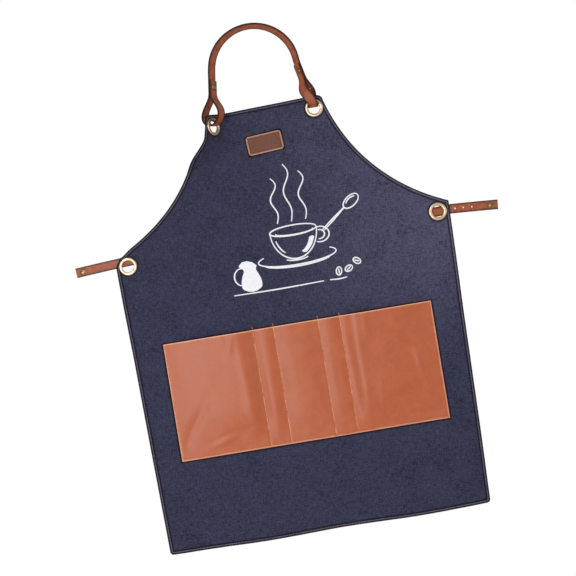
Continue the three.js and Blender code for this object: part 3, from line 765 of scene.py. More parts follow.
def leather_material(name, tones, edge, roughness, cloud_size, grain=0.0016, coat=0.0, specular=0.5):
    """Leather between a dark and a light tone. edge is the colour and width of its cut edge."""
    dark, light = tones
    surface, tree, shader, place = new_material(name, roughness[0], specular_ior_level=specular)
    skin = use_group(tree, "Leather grain", {"Position": place, "Grain": grain})
    inputs = {"Position": place, "Size": cloud_size, "Contrast": 0.45}
    cloud = use_group(tree, "Uneven colour", inputs)["Cloud"]
    tone = blended(tree, cloud, rgba(dark), rgba(light))
    pitted = blended(tree, maths(tree, "MULTIPLY", skin["Pores"], 0.25), tone, rgba(dark))
    edge_colour, width = edge
    inputs = {"Distance": attribute(tree, "edge_distance"), "Width": width, "Position": place}
    band = use_group(tree, "Edge wear and shade", inputs)["Band"]
    tree.links.new(blended(tree, band, pitted, rgba(edge_colour)), shader.inputs["Base Color"])
    gloss = weighed(tree, (cloud, 0.5), (skin["Pores"], 0.5))
    tree.links.new(ranged(tree, gloss, 0.0, 1.0, *roughness), shader.inputs["Roughness"])
    shader.inputs["Coat Weight"].default_value = coat
    shader.inputs["Coat Roughness"].default_value = 0.3
    set_bump(tree, shader, skin["Height"], 0.25, 0.0002)
    return surface


def thread_material(name, light, dark):
    surface, tree, shader, place = new_material(name, 0.7, specular_ior_level=0.3, sheen_weight=0.2)
    twist = noise_value(tree, stretched(tree, place, (1500, 1500, 900)), 1.0, 2.0, 0.7)
    cloud = use_group(tree, "Uneven colour", {"Position": place, "Size": 0.02, "Contrast": 0.5})["Cloud"]
    fibre = weighed(tree, (twist, 0.5), (cloud, 0.5))
    tone = blended(tree, ranged(tree, fibre, 0.3, 0.7), rgba(dark), rgba(light))
    tree.links.new(tone, shader.inputs["Base Color"])
    tree.links.new(ranged(tree, twist, 0.3, 0.7, 0.8, 0.6), shader.inputs["Roughness"])
    set_bump(tree, shader, twist, 0.4, 0.0002)
    return surface


def metal_material(name, bright, dull, roughness):
    surface, tree, shader, place = new_material(name, roughness[0])
    marks = use_group(tree, "Handled metal", {"Position": place})
    tree.links.new(blended(tree, marks["Dulled"], rgba(bright), rgba(dull)), shader.inputs["Base Color"])
    shader.inputs["Metallic"].default_value = 1.0
    worn = maths(tree, "MAXIMUM", marks["Dulled"], maths(tree, "MULTIPLY", marks["Scratches"], 0.6))
    tree.links.new(ranged(tree, worn, 0.0, 1.0, *roughness), shader.inputs["Roughness"])
    set_bump(tree, shader, marks["Scratches"], 0.12, 0.0001)
    return surface


def print_material(settings):
    """White ink that lies on the yarns and lets a little of them through."""
    surface, tree, shader, _ = new_material("White print", 0.75, specular_ior_level=0.3)
    pattern = add_node(tree, "ShaderNodeUVMap", uv_map="pattern").outputs[0]
    weave = use_group(tree, "Twill weave", {"Pattern": pattern, "Pitch": TWILL_PITCH, "Unevenness": 0.7})
    worn = ranged(tree, weave["Yarn"], 0.0, 0.35, settings.show_through, 0.0)
    ink = blended(tree, worn, rgba(settings.ink), rgba(settings.ink_worn))
    tree.links.new(ink, shader.inputs["Base Color"])
    tree.links.new(ranged(tree, weave["Yarn"], 0.0, 1.0, 0.85, 0.7), shader.inputs["Roughness"])
    set_bump(tree, shader, weave["Height"], 0.4, 0.0003)
    return surface


def floor_material():
    surface, tree, shader, place = new_material("Pale floor", 0.7)
    cloud = use_group(tree, "Uneven colour", {"Position": place, "Size": 0.4, "Contrast": 0.2})["Cloud"]
    tone = blended(tree, cloud, rgba(colour(232, 232, 232)), rgba(colour(240, 240, 240)))
    tree.links.new(tone, shader.inputs["Base Color"])
    return surface


def material(name):
    """A shared material, made the first time that a piece asks for it."""
    if not bpy.data.node_groups.get("Twill weave"):
        make_groups()
    scene = bpy.context.scene
    cloth, leather, metal = scene.apron_cloth, scene.apron_leather, scene.apron_metal
    makers = {
        "Indigo denim": lambda: denim_material(cloth),
        "Pocket leather": lambda: leather_material(
            "Pocket leather", (leather.pocket_dark, leather.pocket_light), grain=0.0011,
            roughness=(0.30, 0.50), cloud_size=0.022, edge=(leather.pocket_edge, POCKET_BORDER), coat=0.06,
            specular=0.34),
        "Label leather": lambda: leather_material(
            "Label leather", (leather.label_dark, leather.label_light), roughness=(0.5, 0.65),
            cloud_size=0.012, edge=(leather.label_edge, LABEL_BORDER)),
        "Strap leather": lambda: leather_material(
            "Strap leather", (leather.strap_dark, leather.strap_light), grain=0.0013,
            roughness=(0.40, 0.58), cloud_size=0.010, edge=(leather.strap_edge, STRAP_BORDER), specular=0.34),
        "Pale brass": lambda: metal_material(
            "Pale brass", metal.brass_bright, metal.brass_dull, (0.34, 0.5)),
        "Aged brass": lambda: metal_material(
            "Aged brass", metal.aged_bright, metal.aged_dull, (0.40, 0.6)),
        "Tan thread": lambda: thread_material("Tan thread", cloth.tan_thread, leather.pocket_dark),
        "Label thread": lambda: thread_material("Label thread", leather.label_light, leather.strap_edge),
        "Hem thread": lambda: thread_material("Hem thread", cloth.hem_thread, cloth.hem_thread_dark),
        "White print": lambda: print_material(scene.apron_print),
        "Pale floor": floor_material,
    }
    return bpy.data.materials.get(name) or makers[name]()


# ---------- settings ----------


def length_setting(name, description, default):
    return FloatProperty(name=name, description=description, default=default, unit="LENGTH", precision=5)


def colour_setting(name, description, default):
    return FloatVectorProperty(
        name=name, description=description, default=default, subtype="COLOR", size=3, min=0, max=1)


class ClothSettings(bpy.types.PropertyGroup):
    """Sizes and colours of the denim and its hem."""

    ripple: length_setting("Ripple", "Height of the soft unevenness over the whole panel", 0.0022)
    pucker: length_setting("Pucker", "Height of the puckers that the hem's stitches pull", 0.0008)
    hem_width: length_setting("Hem width", "Width of the turned edge", 0.0105)
    seam_inset: length_setting("Seam inset", "Distance of the stitches from the edge", 0.0042)
    stitch_pitch: length_setting("Stitch pitch", "Distance from one hem stitch to the next", 0.0034)
    fade_right: FloatProperty(
        name="Fade to the right", description="How much paler the right side of the panel is",
        default=0.55, min=0, max=1, subtype="FACTOR")
    denim_dark: colour_setting("Denim dark", "Colour between the yarn ridges", colour(15, 17, 31))
    denim_light: colour_setting("Denim light", "Colour of the yarn ridges", colour(76, 76, 102))
    denim_faded: colour_setting("Denim faded", "Colour where the dye has thinned", colour(50, 49, 70))
    denim_worn: colour_setting("Denim worn", "Colour where rubbing has paled the dye", colour(110, 108, 134))
    # Painted shade: the colour of the hem's rolled fold, of the groove beside its seam and of the contact
    # shadow round the fittings.
    denim_shade: colour_setting("Denim fold", "Colour of the hem's fold and its groove", colour(20, 14, 22))
    hem_thread: colour_setting("Hem thread", "Light tone of the hem's thread", colour(172, 150, 150))
    hem_thread_dark: colour_setting("Hem thread dark", "Dark tone of the hem's thread", colour(118, 94, 96))
    tan_thread: colour_setting("Tan thread", "Colour of the thread in the leather", colour(252, 190, 136))


class LeatherSettings(bpy.types.PropertyGroup):
    """Colours of the pocket, label and strap leather."""

    pocket_dark: colour_setting("Pocket dark", "Dark tone of the pocket", colour(170, 84, 49))
    pocket_light: colour_setting("Pocket light", "Light tone of the pocket", colour(190, 101, 63))
    pocket_edge: colour_setting("Pocket edge", "The pocket's raw edge", colour(238, 170, 132))
    label_dark: colour_setting("Label dark", "Dark tone of the label", colour(84, 42, 26))
    label_light: colour_setting("Label light", "Light tone of the label", colour(122, 68, 44))
    label_edge: colour_setting("Label edge", "Border of the label", colour(206, 148, 120))
    strap_dark: colour_setting("Strap dark", "Dark tone of the straps", colour(112, 48, 24))
    strap_light: colour_setting("Strap light", "Light tone of the straps", colour(196, 108, 68))
    strap_edge: colour_setting("Strap edge", "Burnished edge of the straps", colour(44, 16, 10))


class MetalSettings(bpy.types.PropertyGroup):
    """Colours of the grommets and studs."""

    brass_bright: colour_setting("Brass bright", "Polished grommet brass", colour(232, 206, 176))
    brass_dull: colour_setting("Brass dull", "Dulled grommet brass", colour(206, 172, 136))
    aged_bright: colour_setting("Aged brass bright", "Rubbed parts of the studs", colour(176, 146, 96))
    aged_dull: colour_setting("Aged brass dull", "Tarnished parts of the studs", colour(96, 72, 42))


class PrintSettings(bpy.types.PropertyGroup):
    """The white line drawing on the front."""

    line_width: length_setting("Line width", "Width of a printed line", 0.0028)
    ink: colour_setting("Ink", "Colour of the print", colour(240, 240, 244))
    ink_worn: colour_setting("Worn ink", "Colour where yarns show through the print", colour(176, 176, 192))
    show_through: FloatProperty(
        name="Show through", description="How much of the yarn shows through the ink",
        default=0.5, min=0, max=1, subtype="FACTOR")


class StageSettings(bpy.types.PropertyGroup):
    """The camera, lights and floor."""

    distance: length_setting("Camera distance", "From the camera to the cloth", 2.66)
    lens: FloatProperty(name="Lens", description="Focal length", default=85.0, min=10, unit="CAMERA")
    aim: FloatVectorProperty(
        name="Aim", description="What the camera looks at, from the middle of the apron's box",
        default=(-0.014, 0.0, -0.0214), size=3, subtype="TRANSLATION")
    tilt: FloatProperty(
        name="Tilt", description="How far the camera is rolled to the side",
        default=math.radians(9.4), subtype="ANGLE")
    floor_drop: length_setting("Floor drop", "From the hem down to the floor", 0.66)
    floor_radius: length_setting("Floor radius", "Radius of the floor", 1.1)
    key_power: FloatProperty(
        name="Key light", description="Power of the main light", default=46.0, unit="POWER")
    fill_power: FloatProperty(
        name="Fill light", description="Power of the fill lights", default=12.0, unit="POWER")
    daylight: FloatProperty(name="Daylight", description="Strength of the light from all round", default=0.42)


# ---------- stage ----------


def add_area_light(name, location, target, width, height, power):
    light = bpy.data.lights.new(name, "AREA")
    light.shape = "RECTANGLE"
    light.size = width
    light.size_y = height
    light.energy = power
    lamp = bpy.data.objects.new(name, light)
    lamp.location = location
    lamp.rotation_euler = (target - lamp.location).to_track_quat("-Z", "Y").to_euler()
    bpy.context.scene.collection.objects.link(lamp)


def add_camera(settings, middle):
    camera = bpy.data.objects.new("Camera", bpy.data.cameras.new("Camera"))
    camera.data.lens = settings.lens
    target = middle + Vector(settings.aim)
    look = Vector((0, 1, 0))
    up = Matrix.Rotation(settings.tilt, 3, "Y") @ Vector((0, 0, 1))
    camera.matrix_world = (
        Matrix.Translation(target - look * settings.distance)
        @ Matrix((look.cross(up), up, -look)).transposed().to_4x4())
    bpy.context.scene.collection.objects.link(camera)
    bpy.context.scene.camera = camera


def add_surroundings(strength):
    """Even light from all round. The camera sees it as plain white."""
    world = bpy.data.worlds.new("Studio")
    world.use_nodes = True
    tree = world.node_tree
    light = tree.nodes["Background"]
    light.inputs["Color"].default_value = (1, 1, 1, 1)
    light.inputs["Strength"].default_value = strength
    white = add_node(tree, "ShaderNodeBackground", {"Color": (1, 1, 1, 1), "Strength": 1.0})
    seen = tree.nodes.new("ShaderNodeLightPath").outputs["Is Camera Ray"]
    either = add_node(tree, "ShaderNodeMixShader", {0: seen, 1: light.outputs[0], 2: white.outputs[0]})
    tree.links.new(either.outputs[0], tree.nodes["World Output"].inputs[0])
    bpy.context.scene.world = world


class APRON_OT_stage(bpy.types.Operator):
    """Sets up the camera, the soft lights, the surroundings and the floor"""

    bl_idname = "apron.stage"
    bl_label = "Stage"

    def execute(self, context):
        settings = context.scene.apron_stage
        low, high = (Vector(corner) for corner in CAD_BOX)
        middle = (low + high) / 2
        add_camera(settings, middle)
        add_surroundings(settings.daylight)
        add_area_light("Key", middle + Vector((-0.95, -2.6, 0.1)), middle, 0.6, 2.2, settings.key_power)
        add_area_light("Fill", middle + Vector((2.1, -1.9, 0.3)), middle, 1.6, 1.6, settings.fill_power)
        add_area_light("Back fill", middle + Vector((0.6, 2.6, 0.8)), middle, 1.6, 1.6, settings.fill_power)
        bm = bmesh.new()
        bmesh.ops.create_circle(bm, cap_ends=True, segments=96, radius=settings.floor_radius)
        bmesh.ops.translate(bm, verts=bm.verts, vec=(middle.x, middle.y, low.z - settings.floor_drop))
        floor = new_object("Floor", bm)
        floor.data.materials.append(material("Pale floor"))
        context.scene.view_settings.view_transform = "Standard"
        return {"FINISHED"}


# ---------- denim panel ----------

# Distances from the cut edge where the grid has a line, so that the turned hem keeps its shape.
HEM_LINES = (0, 0.0008, 0.0018, 0.0032, 0.0042, 0.0052, 0.0064, 0.0080, 0.0098, 0.0112, 0.0135)
INNER_COLUMNS = 112
WIDEST_SLANT = 2.8


def row_places(index):
    """The u of every column of one row of the panel's grid."""
    half, v = ROWS[index]
    before, after = ROWS[max(0, index - 1)], ROWS[min(len(ROWS) - 1, index + 1)]
    run = Vector(after) - Vector(before)
    slant = min(WIDEST_SLANT, run.length / max(abs(run.y), 1e-6))
    rim = [min(half, inset * slant) for inset in HEM_LINES]
    left, right = row_ends(half, v)
    inner_left, inner_right = left + rim[-1], right - rim[-1]
    middle = [lerp(inner_left, inner_right, step / INNER_COLUMNS) for step in range(1, INNER_COLUMNS)]
    return [left + inset for inset in rim] + middle + [right - inset for inset in reversed(rim)]


def cut_grommet_holes(bm):
    """Opens the flat cloth under each grommet and rounds the hole."""
    for centre in GROMMETS.values():
        middle = Vector((centre.x, centre.y, 0))
        inside = [f for f in bm.faces if (f.calc_center_median() - middle).length < GROMMET_BARREL]
        rim = {v for f in inside for v in f.verts}
        bmesh.ops.delete(bm, geom=inside, context="FACES")
        for vert in rim:
            if vert.is_valid:
                vert.co = middle + (vert.co - middle).normalized() * CLOTH_HOLE


def hem_weight(settings, distance):
    """Share of the hem's thickness: doubled cloth at the edge, pinched where the stitches go through."""
    single = DENIM / HEM_THICKNESS
    turned = 1 - ease(settings.hem_width - 0.001, settings.hem_width + 0.001, distance)
    pinch = 0.75 * math.exp(-(((distance - settings.seam_inset) / 0.0009) ** 2))
    rounded = 0.45 * (1 - ease(0, 0.0009, distance))
    return single + (1 - single) * (turned * (1 - pinch)) - rounded


class APRON_OT_denim_panel(bpy.types.Operator):
    """Makes the denim panel with its turned hem and grommet holes"""

    bl_idname = "apron.denim_panel"
    bl_label = "Denim panel"

    def execute(self, context):
        settings = context.scene.apron_cloth
        columns = [row_places(index) for index in range(len(ROWS))]
        bm = mapped_grid(
            len(columns[0]) - 1, len(ROWS) - 1,
            lambda column, row: Vector((columns[row][column], ROWS[row][1], 0)))
        cut_grommet_holes(bm)
        keep_pattern(bm)
        mark_edge(bm, lambda place: edge_distance(place.x, place.y))
        weights = bm.verts.layers.deform.verify()
        for vert in bm.verts:
            u, v, _ = vert.co
            vert[weights][0] = hem_weight(settings, edge_distance(u, v))
            vert.co = cloth_middle(u, v)
        thickness = {"thickness": HEM_THICKNESS, "offset": 0, "vertex_group": "thickness"}
        panel = add_piece(
            "denim_cloth", bm, material("Indigo denim"), "apron_panel", ["denim_panel"],
            [("SOLIDIFY", thickness)], ["thickness"], sharp=60)
        cut_area = sum((a[0] + b[0]) * (b[1] - a[1]) for a, b in zip(ROWS, ROWS[1:]))
        return {"FINISHED"}


# ---------- stitches ----------

THIN_THREAD = 0.0011
THREAD_RISE = 0.0001
# Pitch, width and the share of the pitch that the thread shows, for each kind of seam.
DIVIDER_SEAM = (0.0042, 0.0019, 0.88)
TACK_SEAM = (0.0030, 0.0017, 0.9)
RIM_SEAM = (0.0038, THIN_THREAD)
LABEL_STITCHES = (0.0030, THIN_THREAD, 0.72)


def stitch_mesh():
    """One stitch: a small rounded grain, two units long, wide and high."""
    bm = bmesh.new()
    bmesh.ops.create_uvsphere(bm, u_segments=6, v_segments=5, radius=1)
    bmesh.ops.rotate(bm, verts=bm.verts, cent=(0, 0, 0), matrix=Matrix.Rotation(math.pi / 2, 3, "Y"))
    mesh = bpy.data.meshes.new("stitch")
    bm.to_mesh(mesh)
    bm.free()
    return mesh


def stitches_along(route, surface, height, pitch, width, share=0.78):
    """Stitches in a row: route is on the pattern, and height is above the surface's middle."""
    grain = stitch_mesh()
    bm = bmesh.new()
    points = even_points(route, pitch)
    for a, b in zip(points, points[1:]):
        start, end = lifted(surface, a.x, a.y, height), lifted(surface, b.x, b.y, height)
        middle = (a + b) / 2
        along = (end - start).normalized()
        side = normal_on(surface, middle.x, middle.y).cross(along).normalized()
        half = (end - start).length * share / 2
        shape = Matrix((along * half, side * width / 2, along.cross(side) * width * 0.36))
        one = grain.copy()
        one.transform(Matrix.Translation((start + end) / 2) @ shape.transposed().to_4x4())
        bm.from_mesh(one)
        bpy.data.meshes.remove(one)
    bpy.data.meshes.remove(grain)
    return bm


def inner_outline(inset):
    """The panel's outline moved inwards."""
    outline = outline_points(0.0015)[:-1]
    count = len(outline)
    route = []
    for index, point in enumerate(outline):
        along = (outline[(index + 2) % count] - outline[index - 2]).normalized()
        route.append(point + Vector((-along.y, along.x)) * inset)
    return [*route, route[0]]


class APRON_OT_hem_stitches(bpy.types.Operator):
    """Sews the hem, with the thread showing in front and behind"""

    bl_idname = "apron.hem_stitches"
    bl_label = "Hem stitches"

    def execute(self, context):
        settings = context.scene.apron_cloth
        route = inner_outline(settings.seam_inset)
        for name, side, nodes in (("hem_stitches_front", 1, ["hem_thread"]), ("hem_stitches_back", -1, [])):
            height = side * (DENIM_FACE + THREAD_RISE)
            bm = stitches_along(route, cloth_middle, height, settings.stitch_pitch, THIN_THREAD)
            add_piece(name, bm, material("Hem thread"), "apron_panel", nodes, sharp=80)
        return {"FINISHED"}


# ---------- pocket ----------


def lines_between(start, end, step, close_to=(), offsets=(0.0012, 0.0026, 0.0045)):
    """Evenly spaced grid lines with extra ones on both sides of some places."""
    count = round((end - start) / step)
    lines = [lerp(start, end, index / count) for index in range(count + 1)]
    for place in close_to:
        lines = [line for line in lines if abs(line - place) > offsets[-1] + 0.0008]
        lines += [place + side * offset for offset in (0, *offsets) for side in (-1, 1)]
    return sorted({round(line, 6) for line in lines if start <= line <= end})


def seam_pull(u, v):
    """How far the stitches pull the leather in, at the divider seams and round the sewn sides."""
    down = min(abs(u - seam) for seam in POCKET_SEAMS)
    rim = min(abs(place - POCKET_HEM) for place in (u - POCKET_LEFT, POCKET_RIGHT - u, v - POCKET_BOTTOM))
    return 0.0005 * math.exp(-((down / 0.0018) ** 2)) + 0.0003 * math.exp(-((rim / 0.0012) ** 2))


def pocket_surface(u, v):
    stand = DENIM_FACE + GAP + POCKET_LEATHER / 2 + pocket_bulge(u, v) - seam_pull(u, v)
    return lifted(cloth_middle, u, v, stand)


def pocket_edge(place):
    """Distance from the pocket's three sewn edges and its mouth."""
    return min(
        place.x - POCKET_LEFT, POCKET_RIGHT - place.x, place.y - POCKET_BOTTOM, POCKET_MOUTH - place.y)


class APRON_OT_pocket(bpy.types.Operator):
    """Makes the leather pocket with its five compartments"""

    bl_idname = "apron.pocket"
    bl_label = "Pocket"

    def execute(self, context):
        sides = (POCKET_LEFT + POCKET_HEM, POCKET_RIGHT - POCKET_HEM)
        us = lines_between(POCKET_LEFT, POCKET_RIGHT, 0.0040, (*POCKET_SEAMS, *sides))
        vs = lines_between(POCKET_BOTTOM, POCKET_MOUTH, 0.0042, (POCKET_BOTTOM + POCKET_HEM,))
        bm = mapped_grid(
            len(us) - 1, len(vs) - 1, lambda column, row: Vector((us[column], vs[row], 0)))
        keep_pattern(bm)
        mark_edge(bm, pocket_edge)
        for vert in bm.verts:
            vert.co = pocket_surface(vert.co.x, vert.co.y)
        bm = thickened(bm, POCKET_LEATHER, 0.0003)
        pocket = add_piece(
            "pocket_leather", bm, material("Pocket leather"), "apron_panel",
            ["leather_pocket"], sharp=50)
        return {"FINISHED"}


class APRON_OT_pocket_stitches(bpy.types.Operator):
    """Sews the four divider seams and the pocket's sides and bottom"""

    bl_idname = "apron.pocket_stitches"
    bl_label = "Pocket stitches"

    def execute(self, context):
        height = POCKET_LEATHER / 2 + THREAD_RISE
        thread = material("Tan thread")
        for index, u in enumerate(POCKET_SEAMS, 1):
            top, bottom = Vector((u, POCKET_MOUTH - 0.0015)), Vector((u, POCKET_BOTTOM + POCKET_HEM))
            bm = stitches_along([top, bottom], pocket_surface, height, *DIVIDER_SEAM)
            tack = [Vector((u, POCKET_MOUTH + 0.0065)), Vector((u, POCKET_MOUTH + 0.0005))]
            above = stitches_along(tack, cloth_middle, DENIM_FACE + 2 * THREAD_RISE, *TACK_SEAM)
            scratch = bpy.data.meshes.new("tack")
            above.to_mesh(scratch)
            above.free()
            bm.from_mesh(scratch)
            bpy.data.meshes.remove(scratch)
            add_piece(
                f"pocket_seam_stitches_{index}", bm, thread, "apron_panel",
                [f"pocket_seam_thread_{index}"], sharp=80)
        left, right = POCKET_LEFT + POCKET_HEM, POCKET_RIGHT - POCKET_HEM
        bottom, top = POCKET_BOTTOM + POCKET_HEM, POCKET_MOUTH - 0.001
        rim = [Vector(place) for place in ((left, top), (left, bottom), (right, bottom), (right, top))]
        bm = stitches_along(rim, pocket_surface, height, *RIM_SEAM)
        add_piece("pocket_rim_stitches", bm, thread, "apron_panel", sharp=80)
        return {"FINISHED"}


# ---------- label ----------

# Widths and depths of the steps from the label's rim to its middle, which leave a pressed border.
LABEL_STEPS = ((0.0018, 0), (0.0005, -0.0004), (0.0014, 0), (0.0004, 0.0003))


def rounded_rectangle(size, corner, steps=6):
    """The closed outline of a rectangle with round corners, about the origin."""
    half = size / 2 - Vector((corner, corner))
    centres = ((half.x, half.y), (-half.x, half.y), (-half.x, -half.y), (half.x, -half.y))
    points = []
    for quarter, centre in enumerate(centres):
        for step in range(steps + 1):
            turn = math.pi / 2 * (quarter + step / steps)
            points.append(Vector(centre) + Vector((math.cos(turn), math.sin(turn))) * corner)
    return [*points, points[0]]


def label_edge(point):
    """How far a point is inside the label's outline, corners taken as square."""
    return min(LABEL_SIZE.x / 2 - abs(point.x), LABEL_SIZE.y / 2 - abs(point.y))


class APRON_OT_label(bpy.types.Operator):
    """Makes the blank leather label with its raised border and stitches"""

    bl_idname = "apron.label"
    bl_label = "Label"

    def execute(self, context):
        outline = rounded_rectangle(LABEL_SIZE, LABEL_CORNER)[:-1]
        bm = bmesh.new()
        face = bm.faces.new([bm.verts.new((*point, 0)) for point in outline])
        lift = bmesh.ops.extrude_face_region(bm, geom=[face])["geom"]
        bmesh.ops.translate(
            bm, verts=[v for v in lift if isinstance(v, bmesh.types.BMVert)], vec=(0, 0, LABEL_LEATHER))
        bmesh.ops.recalc_face_normals(bm, faces=bm.faces)
        front = max(bm.faces, key=lambda f: f.calc_center_median().z)
        bmesh.ops.bevel(
            bm, geom=list(front.edges), offset=0.0005, offset_type="OFFSET", affect="EDGES", segments=3,
            profile=0.5, material=-1)
        for thickness, depth in LABEL_STEPS:
            raised = [f for f in bm.faces if f.calc_center_median().z > LABEL_LEATHER / 2]
            front = max(raised, key=lambda f: f.calc_area())
            bmesh.ops.inset_region(bm, faces=[front], thickness=thickness, depth=depth, use_even_offset=True)
        mark_edge(bm, label_edge)
        upright = Matrix.Rotation(-LABEL_TURN, 3, "Y") @ Vector((0, 0, 1))
        place = standing_on(
            lifted(cloth_middle, *LABEL_CENTRE, DENIM_FACE + GAP), Vector((0, -1, 0)), upright)
        bmesh.ops.transform(bm, matrix=place, verts=bm.verts)
        add_piece(
            "label_leather_blank", bm, material("Label leather"), "apron_panel",
            ["leather_label"])
        inner = LABEL_SIZE - Vector((LABEL_SEAM, LABEL_SEAM)) * 2
        turn = Matrix.Rotation(LABEL_TURN, 2)
        route = [LABEL_CENTRE + turn @ point for point in rounded_rectangle(inner, LABEL_CORNER - LABEL_SEAM)]
        height = DENIM_FACE + GAP + LABEL_LEATHER - 2 * THREAD_RISE
        bm = stitches_along(route, cloth_middle, height, *LABEL_STITCHES)
        add_piece(
            "label_stitches", bm, material("Label thread"), "apron_panel", ["label_thread"],
            sharp=80)
        return {"FINISHED"}


# ---------- grommets and washers ----------


def eyelet_profile():
    """Domed flange in front, barrel through the cloth, and a lip rolled out behind."""
    face, crown, lip = DENIM_FACE + GAP, 0.0029, -0.0022
    steps = 10
    middle, half = (GROMMET_HOLE + GROMMET_FLANGE) / 2, (GROMMET_FLANGE - GROMMET_HOLE) / 2
    dome = []
    for step in range(steps + 1):
        turn = math.pi * (1 - step / steps)
        dome.append((middle + half * math.cos(turn), 0.0014 + (crown - 0.0014) * math.sin(turn)))
    rolled = [
        (GROMMET_BARREL, lip), (GROMMET_BARREL + 0.0018, lip), (GROMMET_BARREL + 0.0020, lip - 0.0004),
        (GROMMET_BARREL + 0.0012, lip - 0.0008), (GROMMET_HOLE, lip - 0.0005)]
    return [*dome, (GROMMET_FLANGE, face), (GROMMET_BARREL, face), *rolled]


def washer_profile():
    near, thickness = -(DENIM_FACE + GAP), 0.001
    inner, outer, chamfer = 0.0126, 0.0170, 0.0004
    return [
        (inner, near), (outer, near), (outer, near - thickness + chamfer),
        (outer - chamfer, near - thickness), (inner + chamfer, near - thickness),
        (inner, near - thickness + chamfer)]


class APRON_OT_grommets(bpy.types.Operator):
    """Sets the four brass grommets and their washers in the cloth"""

    bl_idname = "apron.grommets"
    bl_label = "Grommets"

    def execute(self, context):
        for name, place in GROMMETS.items():
            matrix = standing_on(cloth_middle(*place), normal_on(cloth_middle, *place))
            for piece, profile, node in (
                ("eyelet", eyelet_profile(), "grommet"), ("backing_ring", washer_profile(), "washer")
            ):
                bm = lathed(profile, 64)
                bmesh.ops.transform(bm, matrix=matrix, verts=bm.verts)
                add_piece(
                    f"{piece}_{name}", bm, material("Pale brass"), "apron_panel",
                    [f"{node}_{name}"])
        return {"FINISHED"}


# ---------- neck strap ----------

NECK_WIDTH = 0.0196
STRAP_PASS = 0.0026
ARCH_CENTRE = Vector((-0.001, -0.008, 0.339))
ARCH_RADIUS = 0.0835
ARCH_ENDS = (math.radians(168), math.radians(12))
ARCH_TILT = (math.radians(38), math.radians(22), math.radians(34))
LOOP_MERGE = 0.066
LOOP_STUD = 0.079
LOOP_TIP = 0.092
LOOP_TOP = 0.095
LOOP_TURN_RANGE = (0.006, 0.062)
LOOPS = {
    "left": {
        "radius": 0.021, "top": Vector((-0.085, -0.012, 0.334)), "flip": 1,
        "turn": (math.radians(-52), math.radians(-52))},
    "right": {
        "radius": 0.018, "top": Vector((0.083, -0.005, 0.334)), "flip": -1, "turn": (0, math.radians(56))},
}
NECK_HOLES = (0.024, 0.042)
PUNCH = 0.0015
STRAP_ORIGIN = Vector((0, BIB_Y, WAIST_LEVEL))


class Loop:
    """One end of the neck strap, which rises from a grommet to the arch.

    p runs from the front strand to the back strand, and q up the loop. Points are from STRAP_ORIGIN.
    """

    def __init__(self, side):
        values = LOOPS[side]
        self.radius, self.turns, self.flip = values["radius"], values["turn"], values["flip"]
        self.foot = cloth_middle(*GROMMETS[f"bib_{side}"]) - STRAP_ORIGIN
        self.rise = (values["top"] - self.foot).normalized()

    def turn_at(self, q):
        return lerp(*self.turns, ease(*LOOP_TURN_RANGE, q))

    def point(self, p, q):
        turn = self.turn_at(q)
        return self.foot + self.rise * q + Vector((math.sin(turn), math.cos(turn), 0)) * p

    def across(self, q):
        turn = self.turn_at(q)
        return Vector((math.cos(turn), -math.sin(turn), 0)) * self.flip

    def inward(self, q):
        return (self.rise.cross(self.across(q)) * -self.flip).normalized()

    def stations(self):
        """Down the front strand from the strap's tip, through the hole and up the back strand."""
        layer = (STRAP_LEATHER + GAP) / 2
        middle = STRAP_PASS + self.radius

        def apart(q):
            closed = min(1.0, max(0.0, (q - middle) / (LOOP_MERGE - middle)))
            return layer + (self.radius - layer) * 0.5 * (1 + math.cos(math.pi * closed))

        falls, bends = 7, 10
        heights = [LOOP_TIP, LOOP_STUD, LOOP_MERGE + 0.003]
        heights += [lerp(LOOP_MERGE, middle, step / falls) for step in range(falls)]
        front = [(-apart(q), q) for q in heights]
        bend = []
        for step in range(bends + 1):
            turn = math.pi * (1 + step / bends)
            bend.append((self.radius * math.cos(turn), middle + self.radius * math.sin(turn)))
        back = [(apart(q), q) for q in reversed(heights)]
        back[-1] = (layer, LOOP_TOP)
        return [(self.point(p, q), self.across(q)) for p, q in [*front, *bend, *back]]


def arch_stations():
    steps = 14
    stations = []
    for step in range(steps + 1):
        share = step / steps
        turn = lerp(*ARCH_ENDS, share)
        inward = Vector((-math.cos(turn), 0, -math.sin(turn)))
        if share < 0.5:
            tilt = lerp(ARCH_TILT[0], ARCH_TILT[1], ease(0, 0.5, share))
        else:
            tilt = lerp(ARCH_TILT[1], ARCH_TILT[2], ease(0.5, 1, share))
        across = inward * math.sin(tilt) + Vector((0, math.cos(tilt), 0))
        stations.append((ARCH_CENTRE - inward * ARCH_RADIUS, across))
    return stations


def smooth_run(points, steps, power):
    """A Catmull-Rom curve through points, with steps spans between each two of them.

    power spaces the knots by distance: 0.5 for a route, and 0 for directions.
    """
    ends = [points[0] * 2 - points[1], *points, points[-1] * 2 - points[-2]]
    run = []
    for p0, p1, p2, p3 in zip(ends, ends[1:], ends[2:], ends[3:]):
        t1 = max((p1 - p0).length, 1e-6) ** power
        t2 = t1 + max((p2 - p1).length, 1e-6) ** power
        t3 = t2 + max((p3 - p2).length, 1e-6) ** power
        for step in range(steps):
            t = lerp(t1, t2, step / steps)
            a1 = p0.lerp(p1, t / t1)
            a2 = p1.lerp(p2, (t - t1) / (t2 - t1))
            a3 = p2.lerp(p3, (t - t2) / (t3 - t2))
            run.append(a1.lerp(a2, t / t2).lerp(a2.lerp(a3, (t - t1) / (t3 - t1)), (t - t1) / (t2 - t1)))
    return [*run, points[-1]]


